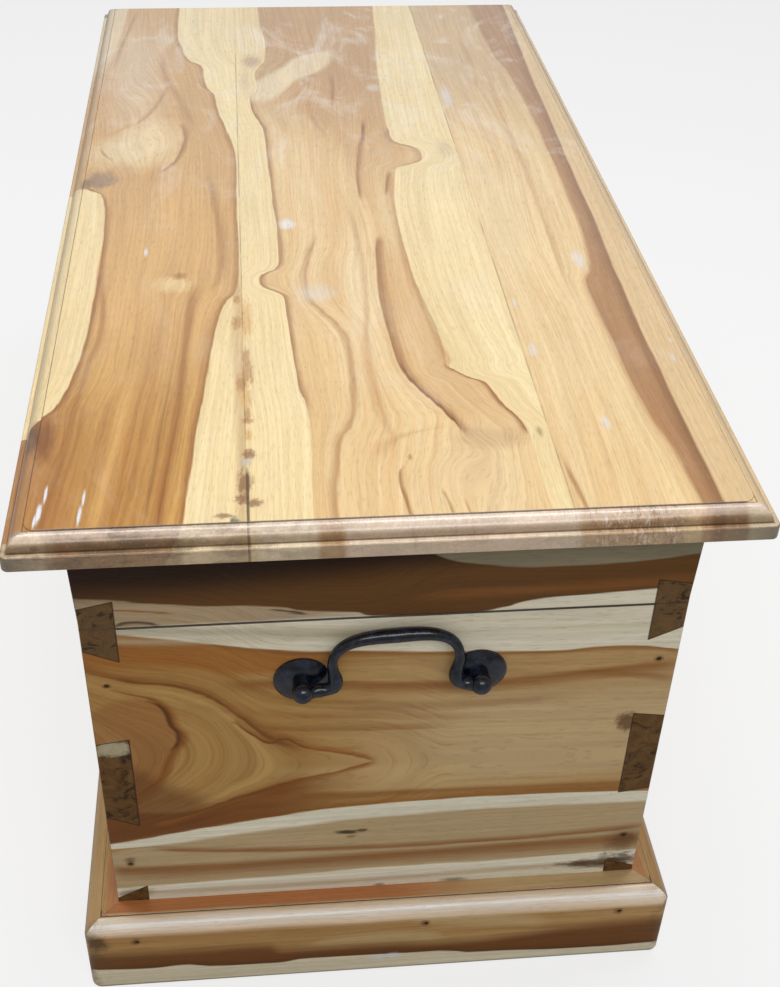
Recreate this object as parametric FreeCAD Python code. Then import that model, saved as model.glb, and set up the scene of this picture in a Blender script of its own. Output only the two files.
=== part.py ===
import FreeCAD, Part
import math
import os

# Sea chest in teak: dovetailed board carcass, mitred plinth, moulded lid on two
# butt hinges, and an iron bail handle on each end.
# Millimetres. X runs along the chest, the front is -Y, the hinges are at +Y, Z is
# up, and the origin is the middle of the footprint on the floor. Left is -X.

os.makedirs("parts", exist_ok=True)
V = FreeCAD.Vector
X_AXIS = V(1, 0, 0)
Y_AXIS = V(0, 1, 0)
Z_AXIS = V(0, 0, 1)
ORIGIN = V(0, 0, 0)

# ---------------------------------------------------------------- driving sizes
HEIGHT = 490.0
LID_LENGTH = 1000.0
LID_DEPTH = 500.0
LID_THICK = 22.0
OVERHANG = 36.0
WALL = 25.0                  # thickness of the carcass boards and the lid rails
PARTING_Z = 382.0            # the saw cut between the box and the lid
FOOT_GAP = 6.0               # the carcass boards stop this far above the floor
END_SEAM_Z = 166.0           # glue line of the two boards of an end panel
LONG_SEAM_Z = 150.0          # glue line of the two boards of the front and back
PLANK_SEAMS = (-115.0, 95.0)     # glue lines of the three lid planks
FLARE = 3.0                  # the long lid rails lean out by this much at the top
FLARE_START_Z = 388.0
ARRIS = 1.5                  # rounding of the carcass corners
GROOVE = 0.7                 # eased edges along the parting line

# lid edge: fascia, narrow ledge, quarter-round roll, and a small step (quirk) up to the flat
FASCIA = 11.5
LEDGE = 4.5
ROLL = 9.5
QUIRK_FLAT = 0.3             # level strip between the roll and the step
QUIRK_CORNER = 9.0
QUIRK_EASE = 0.6
LID_CORNER = 5.0
LID_EASE = 1.5               # worn edges of the fascia

# plinth: a broad round-over and the same small step on its top edge
PLINTH_THICK = 27.0
PLINTH_HEIGHT = 78.0
PLINTH_ROUND = 13.3
PLINTH_ROUND_TOP = 77.0
PLINTH_CORNER = 9.0
PLINTH_EASE = 1.8            # worn lower edge of the face

# dovetail pins as heights: low inner, low outer, high outer, high inner
FRONT_PINS = ((18.0, 26.0, 84.0, 93.0), (179.0, 183.0, 266.0, 270.0), (347.0, 359.0, 400.0, 405.0))
BACK_PINS = ((18.0, 26.0, 82.0, 96.0), (172.0, 184.0, 266.0, 270.0), (350.0, 362.0, 401.0, 407.0))

# inside
BOTTOM_THICK = 12.0
CLEAT = 18.0
BOARD_GAP = 0.5
BATTEN_WIDE = 50.0
BATTEN_THICK = 18.0
BATTEN_CHAMFER = 3.0
BATTEN_X = 250.0
BATTEN_END_GAP = 3.0

# butt hinges
HINGE_X = 300.0
HINGE_LENGTH = 76.0
LEAF_THICK = 2.0
LEAF_WIDE = 21.0
KNUCKLE_R = 4.0
KNUCKLE_OUT = 4.5            # hinge axis outside the back face
KNUCKLES = 5
KNUCKLE_GAP = 0.3
PIN_R = 2.0
PIN_PLAY = 0.08
PIN_HEAD_R = 3.2
PIN_HEAD = 1.2

# bail handles
HANDLE_Z = 325.0
HANDLE_Y = -2.5
POST_SPACING = 128.0
AXIS_OUT = 12.5              # bail axis outside the end panel
ROSE_R = 20.5
ROSE_EDGE = 1.6
ROSE_DOME = 6.0
ROSE_SEAT_R = 8.0
POST_FOOT_R = 7.0
POST_STEM_R = 6.2
POST_BALL_R = 8.0
POST_BALL_OUT = 14.0         # centre of the ball outside the end panel
POST_FLAT = 6.4              # flat on the ball, this far from its centre
STUD_R = 3.0
STUD_HOLE_R = 3.2
WASHER_R = 8.0
WASHER_THICK = 1.5
NUT_FLATS = 10.0
NUT_THICK = 5.0
STUD_SPARE = 3.0
TENON_R = 2.6
TENON_HOLE_R = 2.7
TENON_TIP = 1.6              # gap between the tenon's tip and the post's middle
SPINDLE_GAP = 0.4
SPINDLE_END_R = 5.9          # the bail's foot swells towards the post
BAIL_LEAN = 8.0              # degrees the upright bail leans on the panel
BAIL_SLIP = 2.6              # the forged bow sits this far to the front of its posts' middle
BAIL_SLIP_FADE = 12.0        # over this length the feet come back to the posts
BAIL_SKEW = 0.001            # and rises this much towards the front, per mm
# half of the bail's centre line: out from the middle, up from the axis, radius
BAIL_LINE = (
    (0.0, 45.0, 5.4), (13.0, 44.9, 5.2), (24.0, 43.8, 4.8), (33.3, 41.0, 4.3), (40.4, 36.0, 3.9),
    (44.4, 29.0, 3.6), (45.2, 21.5, 3.8), (44.2, 14.5, 4.6), (43.2, 9.2, 5.3), (43.7, 5.0, 5.4),
    (46.4, 1.7, 4.9), (50.4, 0.3, 4.7), (54.0, 0.0, 5.1))

# fasteners
NAIL_R = 1.25
NAIL_HEAD_R = 1.8
NAIL_SINK = 0.8
NAIL_LENGTH = 46.0
BOTTOM_NAIL = 25.0
CORNER_NAIL_Y = 200.0
CORNER_NAIL_Z = (125.0, 327.0)
PLINTH_NAIL_Z = 60.0
PLINTH_NAIL_END_Y = (-199.0, -37.0, 199.0)
PLINTH_NAIL_LONG_X = (-400.0, -135.0, 135.0, 400.0)
SCREW_R = 1.8
SCREW_HEAD_R = 3.6
SCREW_HEAD = 2.4
CLEAT_SCREW = 30.0
BATTEN_SCREW = 32.0
HINGE_SCREW = 16.0

# ---------------------------------------------------------------- derived sizes
BODY_X = LID_LENGTH / 2 - OVERHANG
BODY_Y = LID_DEPTH / 2 - OVERHANG
IN_X = BODY_X - WALL
IN_Y = BODY_Y - WALL
LID_UNDER_Z = HEIGHT - LID_THICK
PLINTH_X = BODY_X + PLINTH_THICK
PLINTH_Y = BODY_Y + PLINTH_THICK
CLEAT_TOP_Z = FOOT_GAP + CLEAT
BOTTOM_TOP_Z = CLEAT_TOP_Z + BOTTOM_THICK
HINGE_Y = BODY_Y + KNUCKLE_OUT
AXIS_X = -BODY_X - AXIS_OUT
BEYOND = 40.0                # how far a cutting solid reaches past the work


# ---------------------------------------------------------------- small helpers
def block(x0, x1, y0, y1, z0, z1):
    return Part.makeBox(x1 - x0, y1 - y0, z1 - z0, V(x0, y0, z0))


def closed_face(edges):
    return Part.Face(Part.Wire(edges))


def polygon_face(points):
    return Part.Face(Part.makePolygon(list(points) + [points[0]]))


def line(a, b):
    return Part.LineSegment(a, b).toShape()


def arc(a, middle, b):
    return Part.Arc(a, middle, b).toShape()


def rod(start, direction, radius, length):
    return Part.makeCylinder(radius, length, start, direction)


def join(shapes):
    shapes = list(shapes)
    return shapes[0].multiFuse(shapes[1:]).removeSplitter() if len(shapes) > 1 else shapes[0]


def mirrored(shape):
    return shape.mirror(ORIGIN, X_AXIS)


def both_ends(shapes):
    return list(shapes) + [mirrored(shape) for shape in shapes]


def turned(shape):
    # the left handle's piece turned about the chest's upright middle to the right end
    copy = shape.copy()
    copy.rotate(V(0, HANDLE_Y, 0), Z_AXIS, 180)
    return copy


def save(node, shape):
    shape.exportStep(f"parts/{node}.step")


def save_group(node, solids):
    save(node, Part.makeCompound(list(solids)))


def nail(start, direction, length=NAIL_LENGTH):
    # lost-head nail, driven in along direction from start and punched below the face
    top = start + direction * NAIL_SINK
    head = rod(top, direction, NAIL_HEAD_R, NAIL_HEAD_R)
    shank = rod(top, direction, NAIL_R, length)
    return head.fuse(shank)


def nail_hole(start, direction, length=NAIL_LENGTH):
    return nail(start, direction, length).fuse(rod(start, direction, NAIL_HEAD_R, NAIL_SINK))


def screw(start, direction, length):
    # countersunk wood screw, its head flush with the face at start
    head = Part.makeCone(SCREW_HEAD_R, SCREW_R, SCREW_HEAD, start, direction)
    return head.fuse(rod(start, direction, SCREW_R, length)).removeSplitter()


def bored(shape, tools):
    # only the tools that reach the shape are cut from it
    near = [tool for tool in tools if tool.BoundBox.intersect(shape.BoundBox)]
    return shape.cut(near) if near else shape


# ---------------------------------------------------------------- carcass walls
def carcass_envelope():
    # outer form of the walls and the lid's rails: upright, then leaning out a little
    # along the front and back as it nears the lid, with rounded corners
    outline = polygon_face([
        V(-BODY_X, -BODY_Y, FOOT_GAP), V(-BODY_X, BODY_Y, FOOT_GAP),
        V(-BODY_X, BODY_Y, FLARE_START_Z), V(-BODY_X, BODY_Y + FLARE, LID_UNDER_Z),
        V(-BODY_X, -BODY_Y - FLARE, LID_UNDER_Z), V(-BODY_X, -BODY_Y, FLARE_START_Z)])
    body = outline.extrude(X_AXIS * (2 * BODY_X))
    corners = [edge for edge in body.Edges
               if edge.BoundBox.XLength < 0.1 and edge.BoundBox.ZLength > 10]
    return body.makeFillet(ARRIS, corners)


def pin_blocks(pins, sign, x0, x1):
    # the dovetail pins of a long wall: wide at the inside, narrow at the outside
    reach = WALL + 2 * FLARE
    blocks = []
    for low_in, low_out, high_out, high_in in pins:
        low_end = low_in + (low_out - low_in) * reach / WALL
        high_end = high_in + (high_out - high_in) * reach / WALL
        corners = [V(x0, sign * IN_Y, low_in), V(x0, sign * (IN_Y + reach), low_end),
                   V(x0, sign * (IN_Y + reach), high_end), V(x0, sign * IN_Y, high_in)]
        blocks.append(polygon_face(corners).extrude(X_AXIS * (x1 - x0)))
    return blocks


def parting_grooves():
    # the edges along the saw cut are eased by a shallow V on all four sides
    long_end, short_end = BODY_X + BEYOND, BODY_Y + BEYOND
    grooves = []
    for sign in (-1, 1):
        y_face, x_face = sign * BODY_Y, sign * BODY_X
        grooves.append(polygon_face([
            V(-long_end, y_face + sign * GROOVE, PARTING_Z - 2 * GROOVE),
            V(-long_end, y_face - sign * GROOVE, PARTING_Z),
            V(-long_end, y_face + sign * GROOVE, PARTING_Z + 2 * GROOVE)
        ]).extrude(X_AXIS * (2 * long_end)))
        grooves.append(polygon_face([
            V(x_face + sign * GROOVE, -short_end, PARTING_Z - 2 * GROOVE),
            V(x_face - sign * GROOVE, -short_end, PARTING_Z),
            V(x_face + sign * GROOVE, -short_end, PARTING_Z + 2 * GROOVE)
        ]).extrude(Y_AXIS * (2 * short_end)))
    return grooves


ENVELOPE = carcass_envelope()
GROOVES = parting_grooves()
SIDE_PINS = {"front": FRONT_PINS, "back": BACK_PINS}
SIDE_SIGN = {"front": -1, "back": 1}


def band(shape, z0, z1):
    far_x, far_y = BODY_X + BEYOND, BODY_Y + BEYOND
    return shape.common(block(-far_x, far_x, -far_y, far_y, z0, z1))


def left_end_wall():
    reach = BODY_Y + 2 * FLARE
    slab = block(-BODY_X, -IN_X, -reach, reach, FOOT_GAP, LID_UNDER_Z)
    pins = [pin for side in SIDE_PINS
            for pin in pin_blocks(SIDE_PINS[side], SIDE_SIGN[side], -BODY_X, -IN_X)]
    return slab.cut(pins).common(ENVELOPE).cut(GROOVES)


def long_wall(side):
    sign, pins = SIDE_SIGN[side], SIDE_PINS[side]
    near, far = sorted((sign * IN_Y, sign * (BODY_Y + 2 * FLARE)))
    slab = block(-IN_X, IN_X, near, far, FOOT_GAP, LID_UNDER_Z)
    fingers = pin_blocks(pins, sign, -BODY_X, -IN_X) + pin_blocks(pins, sign, IN_X, BODY_X)
    return join([slab] + fingers).common(ENVELOPE).cut(GROOVES)


# ---------------------------------------------------------------- fasteners in place
def corner_nails(make):
    # one through each tail of the end panels, into the end grain of the long walls
    left = [make(V(-BODY_X, sign * CORNER_NAIL_Y, z), X_AXIS)
            for sign in (-1, 1) for z in CORNER_NAIL_Z]
    return both_ends(left)


def plinth_nails(make):
    left = [make(V(-PLINTH_X, y, PLINTH_NAIL_Z), X_AXIS) for y in PLINTH_NAIL_END_Y]
    long_sides = [make(V(x, sign * PLINTH_Y, PLINTH_NAIL_Z), Y_AXIS * -sign)
                  for sign in (-1, 1) for x in PLINTH_NAIL_LONG_X]
    return both_ends(left) + long_sides


def cleat_screws():
    inner_x, inner_y = IN_X - CLEAT, IN_Y - CLEAT
    middle_z = FOOT_GAP + CLEAT / 2
    screws = [screw(V(x, sign * inner_y, middle_z), Y_AXIS * sign, CLEAT_SCREW)
              for sign in (-1, 1) for x in (-360.0, -120.0, 120.0, 360.0)]
    screws += both_ends([screw(V(-inner_x, y, middle_z), X_AXIS * -1, CLEAT_SCREW) for y in (-63.0, 63.0)])
    return screws


def bottom_spans():
    # front to back limits of the three bottom boards
    wide = 2 * IN_Y / 3
    return [(-IN_Y + i * wide + BOARD_GAP / 2, -IN_Y + (i + 1) * wide - BOARD_GAP / 2) for i in range(3)]


def bottom_nails(make):
    nail_x = IN_X - CLEAT / 2
    left = [make(V(-nail_x, (low + high) / 2 + offset, BOTTOM_TOP_Z), Z_AXIS * -1, BOTTOM_NAIL)
            for low, high in bottom_spans() for offset in (-35.0, 35.0)]
    return both_ends(left)


def batten_screws():
    # two screws into each lid plank, inside the rails
    edges = (-IN_Y,) + PLANK_SEAMS + (IN_Y,)
    inset = 22.0
    rows = [y for low, high in zip(edges, edges[1:]) for y in (low + inset, high - inset)]
    left = [screw(V(-BATTEN_X, y, LID_UNDER_Z - BATTEN_THICK), Z_AXIS, BATTEN_SCREW) for y in rows]
    return both_ends(left)


CORNER_HOLES = corner_nails(nail_hole)
PLINTH_HOLES = plinth_nails(nail_hole)
BOTTOM_HOLES = bottom_nails(nail_hole)
CLEAT_SCREWS = cleat_screws()
BATTEN_SCREWS = batten_screws()


# ---------------------------------------------------------------- butt hinges
def knuckle_spans(lid):
    # the box leaf has the outer and middle knuckles, the lid leaf the two between
    wide = HINGE_LENGTH / KNUCKLES
    start = -HINGE_X - HINGE_LENGTH / 2
    chosen = range(1, KNUCKLES, 2) if lid else range(0, KNUCKLES, 2)
    return [(start + i * wide + KNUCKLE_GAP / 2, start + (i + 1) * wide - KNUCKLE_GAP / 2) for i in chosen]


def leaf_plate(lid):
    z0 = PARTING_Z if lid else PARTING_Z - LEAF_THICK
    clear_y = HINGE_Y - KNUCKLE_R - KNUCKLE_GAP
    return block(-HINGE_X - HINGE_LENGTH / 2, -HINGE_X + HINGE_LENGTH / 2,
                 BODY_Y - LEAF_WIDE, clear_y, z0, z0 + LEAF_THICK)


def hinge_screws(lid):
    direction = Z_AXIS if lid else Z_AXIS * -1
    rows = ((-26.0, 9.0), (0.0, 14.0), (26.0, 9.0))      # along the leaf, in from the back face
    return [screw(V(-HINGE_X + along, BODY_Y - inward, PARTING_Z), direction, HINGE_SCREW)
            for along, inward in rows]


def hinge_leaf(lid):
    plate = leaf_plate(lid)
    z0, inner_y = plate.BoundBox.ZMin, plate.BoundBox.YMin
    solids = [plate]
    for x0, x1 in knuckle_spans(lid):
        solids.append(rod(V(x0, HINGE_Y, PARTING_Z), X_AXIS, KNUCKLE_R, x1 - x0))
        solids.append(block(x0, x1, inner_y, HINGE_Y, z0, z0 + LEAF_THICK))
    bore = rod(V(-HINGE_X - HINGE_LENGTH, HINGE_Y, PARTING_Z), X_AXIS, PIN_R + PIN_PLAY, 2 * HINGE_LENGTH)
    return join(solids).cut([bore] + hinge_screws(lid))


def hinge_pin():
    start = -HINGE_X - HINGE_LENGTH / 2
    pin = rod(V(start - PIN_HEAD, HINGE_Y, PARTING_Z), X_AXIS, PIN_R, HINGE_LENGTH + 2 * PIN_HEAD)
    heads = [rod(V(x, HINGE_Y, PARTING_Z), X_AXIS, PIN_HEAD_R, PIN_HEAD)
             for x in (start - PIN_HEAD, start + HINGE_LENGTH)]
    return join([pin] + heads)


HINGE_SCREWS = {lid: both_ends(hinge_screws(lid)) for lid in (False, True)}
HINGE_MORTISES = {lid: both_ends([leaf_plate(lid)]) for lid in (False, True)}


# ---------------------------------------------------------------- bail handles
def rose(y):
    # low dome with a flat seat for the post, turned about the post's line
    def at(out, radius):
        return V(-BODY_X - out, y + radius, HANDLE_Z)

    shoulder_out = ROSE_EDGE + (ROSE_DOME - ROSE_EDGE) * 0.66
    half = closed_face([
        line(at(0, STUD_HOLE_R), at(0, ROSE_R)), line(at(0, ROSE_R), at(ROSE_EDGE, ROSE_R)),
        arc(at(ROSE_EDGE, ROSE_R), at(shoulder_out, ROSE_R * 0.72), at(ROSE_DOME, ROSE_SEAT_R)),
        line(at(ROSE_DOME, ROSE_SEAT_R), at(ROSE_DOME, STUD_HOLE_R)),
        line(at(ROSE_DOME, STUD_HOLE_R), at(0, STUD_HOLE_R))])
    return half.revolve(V(0, y, HANDLE_Z), X_AXIS, 360)


def post(y, inward):
    # stud, stem and ball in one; the side of the ball is bored for the bail's tenon
    seat_x = -BODY_X - ROSE_DOME
    stud_length = WALL + WASHER_THICK + NUT_THICK + STUD_SPARE + ROSE_DOME
    stud = rod(V(seat_x, y, HANDLE_Z), X_AXIS, STUD_R, stud_length)
    stem = Part.makeCone(POST_FOOT_R, POST_STEM_R, POST_BALL_OUT - ROSE_DOME,
                         V(seat_x, y, HANDLE_Z), X_AXIS * -1)
    ball = Part.makeSphere(POST_BALL_R, V(-BODY_X - POST_BALL_OUT, y, HANDLE_Z))
    face_y = y + inward * POST_FLAT
    y0, y1 = sorted((face_y, face_y + inward * BEYOND))
    flat = block(AXIS_X - BEYOND, seat_x, y0, y1, HANDLE_Z - BEYOND, HANDLE_Z + BEYOND)
    bore = rod(V(AXIS_X, y + inward * (TENON_TIP - SPINDLE_GAP), HANDLE_Z), Y_AXIS * inward,
               TENON_HOLE_R, POST_BALL_R)
    return join([stud, stem, ball]).cut([flat, bore])


def bail():
    # one tapered forging, swept upright in the plane of its axis and then leant towards the panel;
    # its feet turn out into the posts, and a tenon on each end turns in the post's bore
    def at(along, up):
        return V(AXIS_X, HANDLE_Y + along, HANDLE_Z + up)

    half = POST_SPACING / 2
    foot_end = half - POST_FLAT - SPINDLE_GAP
    half_line = list(BAIL_LINE) + [(foot_end, 0.0, SPINDLE_END_R)]
    mirrored_half = [(-along, up, radius) for along, up, radius in half_line[1:]][::-1]
    stations = []
    for along, up, radius in mirrored_half + half_line:
        slip = BAIL_SLIP * min(1.0, (foot_end - abs(along)) / BAIL_SLIP_FADE)
        stations.append((at(along - slip, up * (1 - BAIL_SKEW * along)), radius))
    spine = Part.BSplineCurve()
    spine.interpolate([centre for centre, _ in stations])
    rings = []
    for centre, radius in stations:
        at_foot = abs(centre.y - HANDLE_Y) == foot_end
        tangent = Y_AXIS if at_foot else spine.tangent(spine.parameter(centre))[0]
        ring = Part.Circle(V(0, 0, 0), Z_AXIS, radius).toShape()
        ring.rotate(V(0, 0, 0), X_AXIS, math.degrees(math.atan2(-tangent.y, tangent.z)))
        ring.translate(centre)
        rings.append(Part.Wire(ring))
    tenons = [rod(at(side * (foot_end - 1.0), 0), Y_AXIS * side, TENON_R, half - TENON_TIP - foot_end + 1.0)
              for side in (-1, 1)]
    whole = join([Part.makeLoft(rings, True)] + tenons)
    whole.rotate(at(0, 0), Y_AXIS, BAIL_LEAN)
    return whole


POST_YS = {"front": HANDLE_Y - POST_SPACING / 2, "back": HANDLE_Y + POST_SPACING / 2}
STUD_HOLES = both_ends([rod(V(-BODY_X - BEYOND, y, HANDLE_Z), X_AXIS, STUD_HOLE_R, 2 * BEYOND + WALL)
                        for y in POST_YS.values()])


def washer(y):
    return rod(V(-IN_X, y, HANDLE_Z), X_AXIS, WASHER_R, WASHER_THICK).cut(STUD_HOLES)


def nut(y):
    corner_r = NUT_FLATS / 2 / math.cos(math.pi / 6)
    x = -IN_X + WASHER_THICK
    angles = [math.radians(60 * i) for i in range(6)]
    ring = [V(x, y + corner_r * math.cos(turn), HANDLE_Z + corner_r * math.sin(turn)) for turn in angles]
    bore = rod(V(x, y, HANDLE_Z), X_AXIS, STUD_R, NUT_THICK)
    return polygon_face(ring).extrude(X_AXIS * NUT_THICK).cut(bore)


# ---------------------------------------------------------------- mouldings
def rounded_slab(half_x, half_y, z0, z1, corner):
    slab = block(-half_x, half_x, -half_y, half_y, z0, z1)
    return slab.makeFillet(corner, [edge for edge in slab.Edges if edge.BoundBox.ZLength > 1])


def rounded_over(slab, z, radius):
    # rounds the edges that run round the slab at height z
    around = [edge for edge in slab.Edges
              if edge.BoundBox.ZLength < 0.01 and abs(edge.BoundBox.ZMin - z) < 0.01]
    return slab.makeFillet(radius, around)


def mitred_round(half_x, half_y, z0, z1, radius):
    # a slab rounded over round its top; the rounds meet in mitres at the corners
    return rounded_over(block(-half_x, half_x, -half_y, half_y, z0, z1), z1, radius)


def stepped_flat(half_x, half_y, z0, z1):
    # the flat inside a round-over, a small step above it
    return rounded_over(rounded_slab(half_x, half_y, z0, z1, QUIRK_CORNER), z1, QUIRK_EASE)


def plinth_ring():
    face = rounded_over(rounded_slab(PLINTH_X, PLINTH_Y, 0, PLINTH_HEIGHT, PLINTH_CORNER), 0, PLINTH_EASE)
    body = mitred_round(PLINTH_X, PLINTH_Y, 0, PLINTH_ROUND_TOP, PLINTH_ROUND).common(face)
    flat_in = PLINTH_ROUND + QUIRK_FLAT
    ring = join([body, stepped_flat(PLINTH_X - flat_in, PLINTH_Y - flat_in, PLINTH_EASE, PLINTH_HEIGHT)])
    return ring.cut(block(-BODY_X, BODY_X, -BODY_Y, BODY_Y, -BEYOND, PLINTH_HEIGHT + BEYOND))


def plinth_side(ring, side):
    # one length of the ring, mitred to 45 degrees at both ends
    sign = {"front": -1, "back": 1, "left": -1, "right": 1}[side]
    in_x, in_y = BODY_X - BEYOND, BODY_Y - BEYOND
    if side in SIDE_SIGN:
        plan = [(-PLINTH_X, sign * PLINTH_Y), (PLINTH_X, sign * PLINTH_Y),
                (in_x, sign * in_y), (-in_x, sign * in_y)]
    else:
        plan = [(sign * PLINTH_X, -PLINTH_Y), (sign * PLINTH_X, PLINTH_Y),
                (sign * in_x, in_y), (sign * in_x, -in_y)]
    mitre = polygon_face([V(x, y, 0) for x, y in plan]).extrude(Z_AXIS * PLINTH_HEIGHT)
    return ring.common(mitre)


# ---------------------------------------------------------------- lid
def lid_slab():
    half_x, half_y = LID_LENGTH / 2, LID_DEPTH / 2
    fascia_top = LID_UNDER_Z + FASCIA
    fascia = rounded_slab(half_x, half_y, LID_UNDER_Z, fascia_top, LID_CORNER)
    fascia = rounded_over(rounded_over(fascia, LID_UNDER_Z, LID_EASE), fascia_top, LID_EASE)
    roll = mitred_round(half_x - LEDGE, half_y - LEDGE, LID_UNDER_Z, fascia_top + ROLL, ROLL)
    flat_in = LEDGE + ROLL + QUIRK_FLAT
    return join([fascia, roll, stepped_flat(half_x - flat_in, half_y - flat_in, LID_UNDER_Z, HEIGHT)])


def batten():
    half = BATTEN_WIDE / 2
    z0 = LID_UNDER_Z - BATTEN_THICK
    y_end = IN_Y - BATTEN_END_GAP
    section = [(-half, LID_UNDER_Z), (-half, z0 + BATTEN_CHAMFER), (-half + BATTEN_CHAMFER, z0),
               (half - BATTEN_CHAMFER, z0), (half, z0 + BATTEN_CHAMFER), (half, LID_UNDER_Z)]
    face = polygon_face([V(-BATTEN_X + x, -y_end, z) for x, z in section])
    return face.extrude(Y_AXIS * (2 * y_end))


# ---------------------------------------------------------------- write the box
WALL_TOOLS = CORNER_HOLES + PLINTH_HOLES + CLEAT_SCREWS + STUD_HOLES
end_wall = left_end_wall()
for level, z0, z1 in (("lower", FOOT_GAP, END_SEAM_Z), ("upper", END_SEAM_Z, PARTING_Z)):
    board = bored(band(end_wall, z0, z1), WALL_TOOLS)
    save(f"end_left_{level}", board)
    save(f"end_right_{level}", mirrored(board))

walls = {side: long_wall(side) for side in SIDE_PINS}
for side, wall in walls.items():
    for level, z0, z1 in (("lower", FOOT_GAP, LONG_SEAM_Z), ("upper", LONG_SEAM_Z, PARTING_Z)):
        tools = WALL_TOOLS + HINGE_MORTISES[False] + HINGE_SCREWS[False]
        save(f"{side}_{level}", bored(band(wall, z0, z1), tools))

for name, (y0, y1) in zip(("front", "middle", "back"), bottom_spans()):
    board = block(-IN_X + BOARD_GAP, IN_X - BOARD_GAP, y0, y1, CLEAT_TOP_Z, BOTTOM_TOP_Z)
    save(f"bottom_board_{name}", bored(board, BOTTOM_HOLES))

CLEATS = {
    "front": block(-IN_X, IN_X, -IN_Y, -IN_Y + CLEAT, FOOT_GAP, CLEAT_TOP_Z),
    "back": block(-IN_X, IN_X, IN_Y - CLEAT, IN_Y, FOOT_GAP, CLEAT_TOP_Z),
    "left": block(-IN_X, -IN_X + CLEAT, -IN_Y + CLEAT, IN_Y - CLEAT, FOOT_GAP, CLEAT_TOP_Z),
    "right": block(IN_X - CLEAT, IN_X, -IN_Y + CLEAT, IN_Y - CLEAT, FOOT_GAP, CLEAT_TOP_Z)}
for name, cleat in CLEATS.items():
    save(f"bottom_cleat_{name}", bored(cleat, CLEAT_SCREWS + BOTTOM_HOLES))

ring = plinth_ring()
for side in ("front", "back", "left", "right"):
    save(f"plinth_{side}", bored(plinth_side(ring, side), PLINTH_HOLES))

save_group("corner_nails", corner_nails(nail))
save_group("plinth_nails", plinth_nails(nail))
save_group("bottom_nails", bottom_nails(nail))
save_group("cleat_screws", CLEAT_SCREWS)

# ---------------------------------------------------------------- write the lid
slab = lid_slab()
plank_edges = (-LID_DEPTH / 2,) + PLANK_SEAMS + (LID_DEPTH / 2,)
for name, y0, y1 in zip(("front", "middle", "back"), plank_edges, plank_edges[1:]):
    strip = block(-LID_LENGTH / 2, LID_LENGTH / 2, y0, y1, LID_UNDER_Z, HEIGHT)
    save(f"lid_plank_{name}", bored(slab.common(strip), BATTEN_SCREWS))

end_rail = band(end_wall, PARTING_Z, LID_UNDER_Z)
save("lid_rail_left", end_rail)
save("lid_rail_right", mirrored(end_rail))
for side, wall in walls.items():
    rail = band(wall, PARTING_Z, LID_UNDER_Z)
    save(f"lid_rail_{side}", bored(rail, HINGE_MORTISES[True] + HINGE_SCREWS[True]))

left_batten = bored(batten(), BATTEN_SCREWS)
save("lid_batten_left", left_batten)
save("lid_batten_right", mirrored(left_batten))
save_group("lid_batten_screws", BATTEN_SCREWS)

# ---------------------------------------------------------------- write the hinges
for owner, lid in (("box", False), ("lid", True)):
    leaf = hinge_leaf(lid)
    save(f"hinge_leaf_{owner}_left", leaf)
    save(f"hinge_leaf_{owner}_right", mirrored(leaf))
    save_group(f"hinge_screws_{owner}", HINGE_SCREWS[lid])
save("hinge_pin_left", hinge_pin())
save("hinge_pin_right", mirrored(hinge_pin()))

# ---------------------------------------------------------------- write the handles
OTHER_SIDE = {"front": "back", "back": "front"}
washers, nuts = [], []
for side, y in POST_YS.items():
    left_rose, left_post = rose(y), post(y, -SIDE_SIGN[side])
    save(f"rose_left_{side}", left_rose)
    save(f"rose_right_{OTHER_SIDE[side]}", turned(left_rose))
    save(f"post_left_{side}", left_post)
    save(f"post_right_{OTHER_SIDE[side]}", turned(left_post))
    washers += [washer(y), turned(washer(y))]
    nuts += [nut(y), turned(nut(y))]
left_bail = bail()
save("bail_left", left_bail)
save("bail_right", turned(left_bail))
save_group("handle_washers", washers)
save_group("handle_nuts", nuts)
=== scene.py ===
import bpy
from mathutils import Matrix, Vector

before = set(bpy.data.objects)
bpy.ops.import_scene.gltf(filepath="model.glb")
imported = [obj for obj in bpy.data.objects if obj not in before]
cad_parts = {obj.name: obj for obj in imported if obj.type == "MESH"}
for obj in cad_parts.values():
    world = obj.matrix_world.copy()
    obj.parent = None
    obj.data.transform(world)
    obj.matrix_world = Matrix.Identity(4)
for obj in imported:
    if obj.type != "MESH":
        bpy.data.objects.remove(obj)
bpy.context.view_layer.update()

# Sea chest in varnished teak, standing on a pale studio floor. Metres, in the chest's own frame:
# X along its length with the near end at -X, the front at -Y, the hinges at +Y, the floor at Z = 0.
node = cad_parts


# ---------------------------------------------------------------- camera
# A person standing beyond the left end looks down on the lid and the end panel.
CAMERA_AT = Vector((-1.15923, 0.08759, 1.04088))
CAMERA_RIGHT = Vector((-0.086270, -0.996106, 0.018138))
CAMERA_UP = Vector((0.596288, -0.037040, 0.801914))
CAMERA_BACK = CAMERA_RIGHT.cross(CAMERA_UP)

lens = bpy.data.cameras.new("camera")
lens.sensor_fit = "AUTO"
lens.sensor_width = 36.0
lens.lens = 50.02
lens.shift_x = 0.02302
lens.shift_y = -0.03636
lens.clip_end = 50.0
camera = bpy.data.objects.new("camera", lens)
camera.matrix_world = Matrix.Translation(CAMERA_AT) @ Matrix(
    (CAMERA_RIGHT, CAMERA_UP, CAMERA_BACK)).transposed().to_4x4()
bpy.context.scene.collection.objects.link(camera)
bpy.context.scene.camera = camera
bpy.context.scene.view_settings.view_transform = "Standard"


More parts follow.
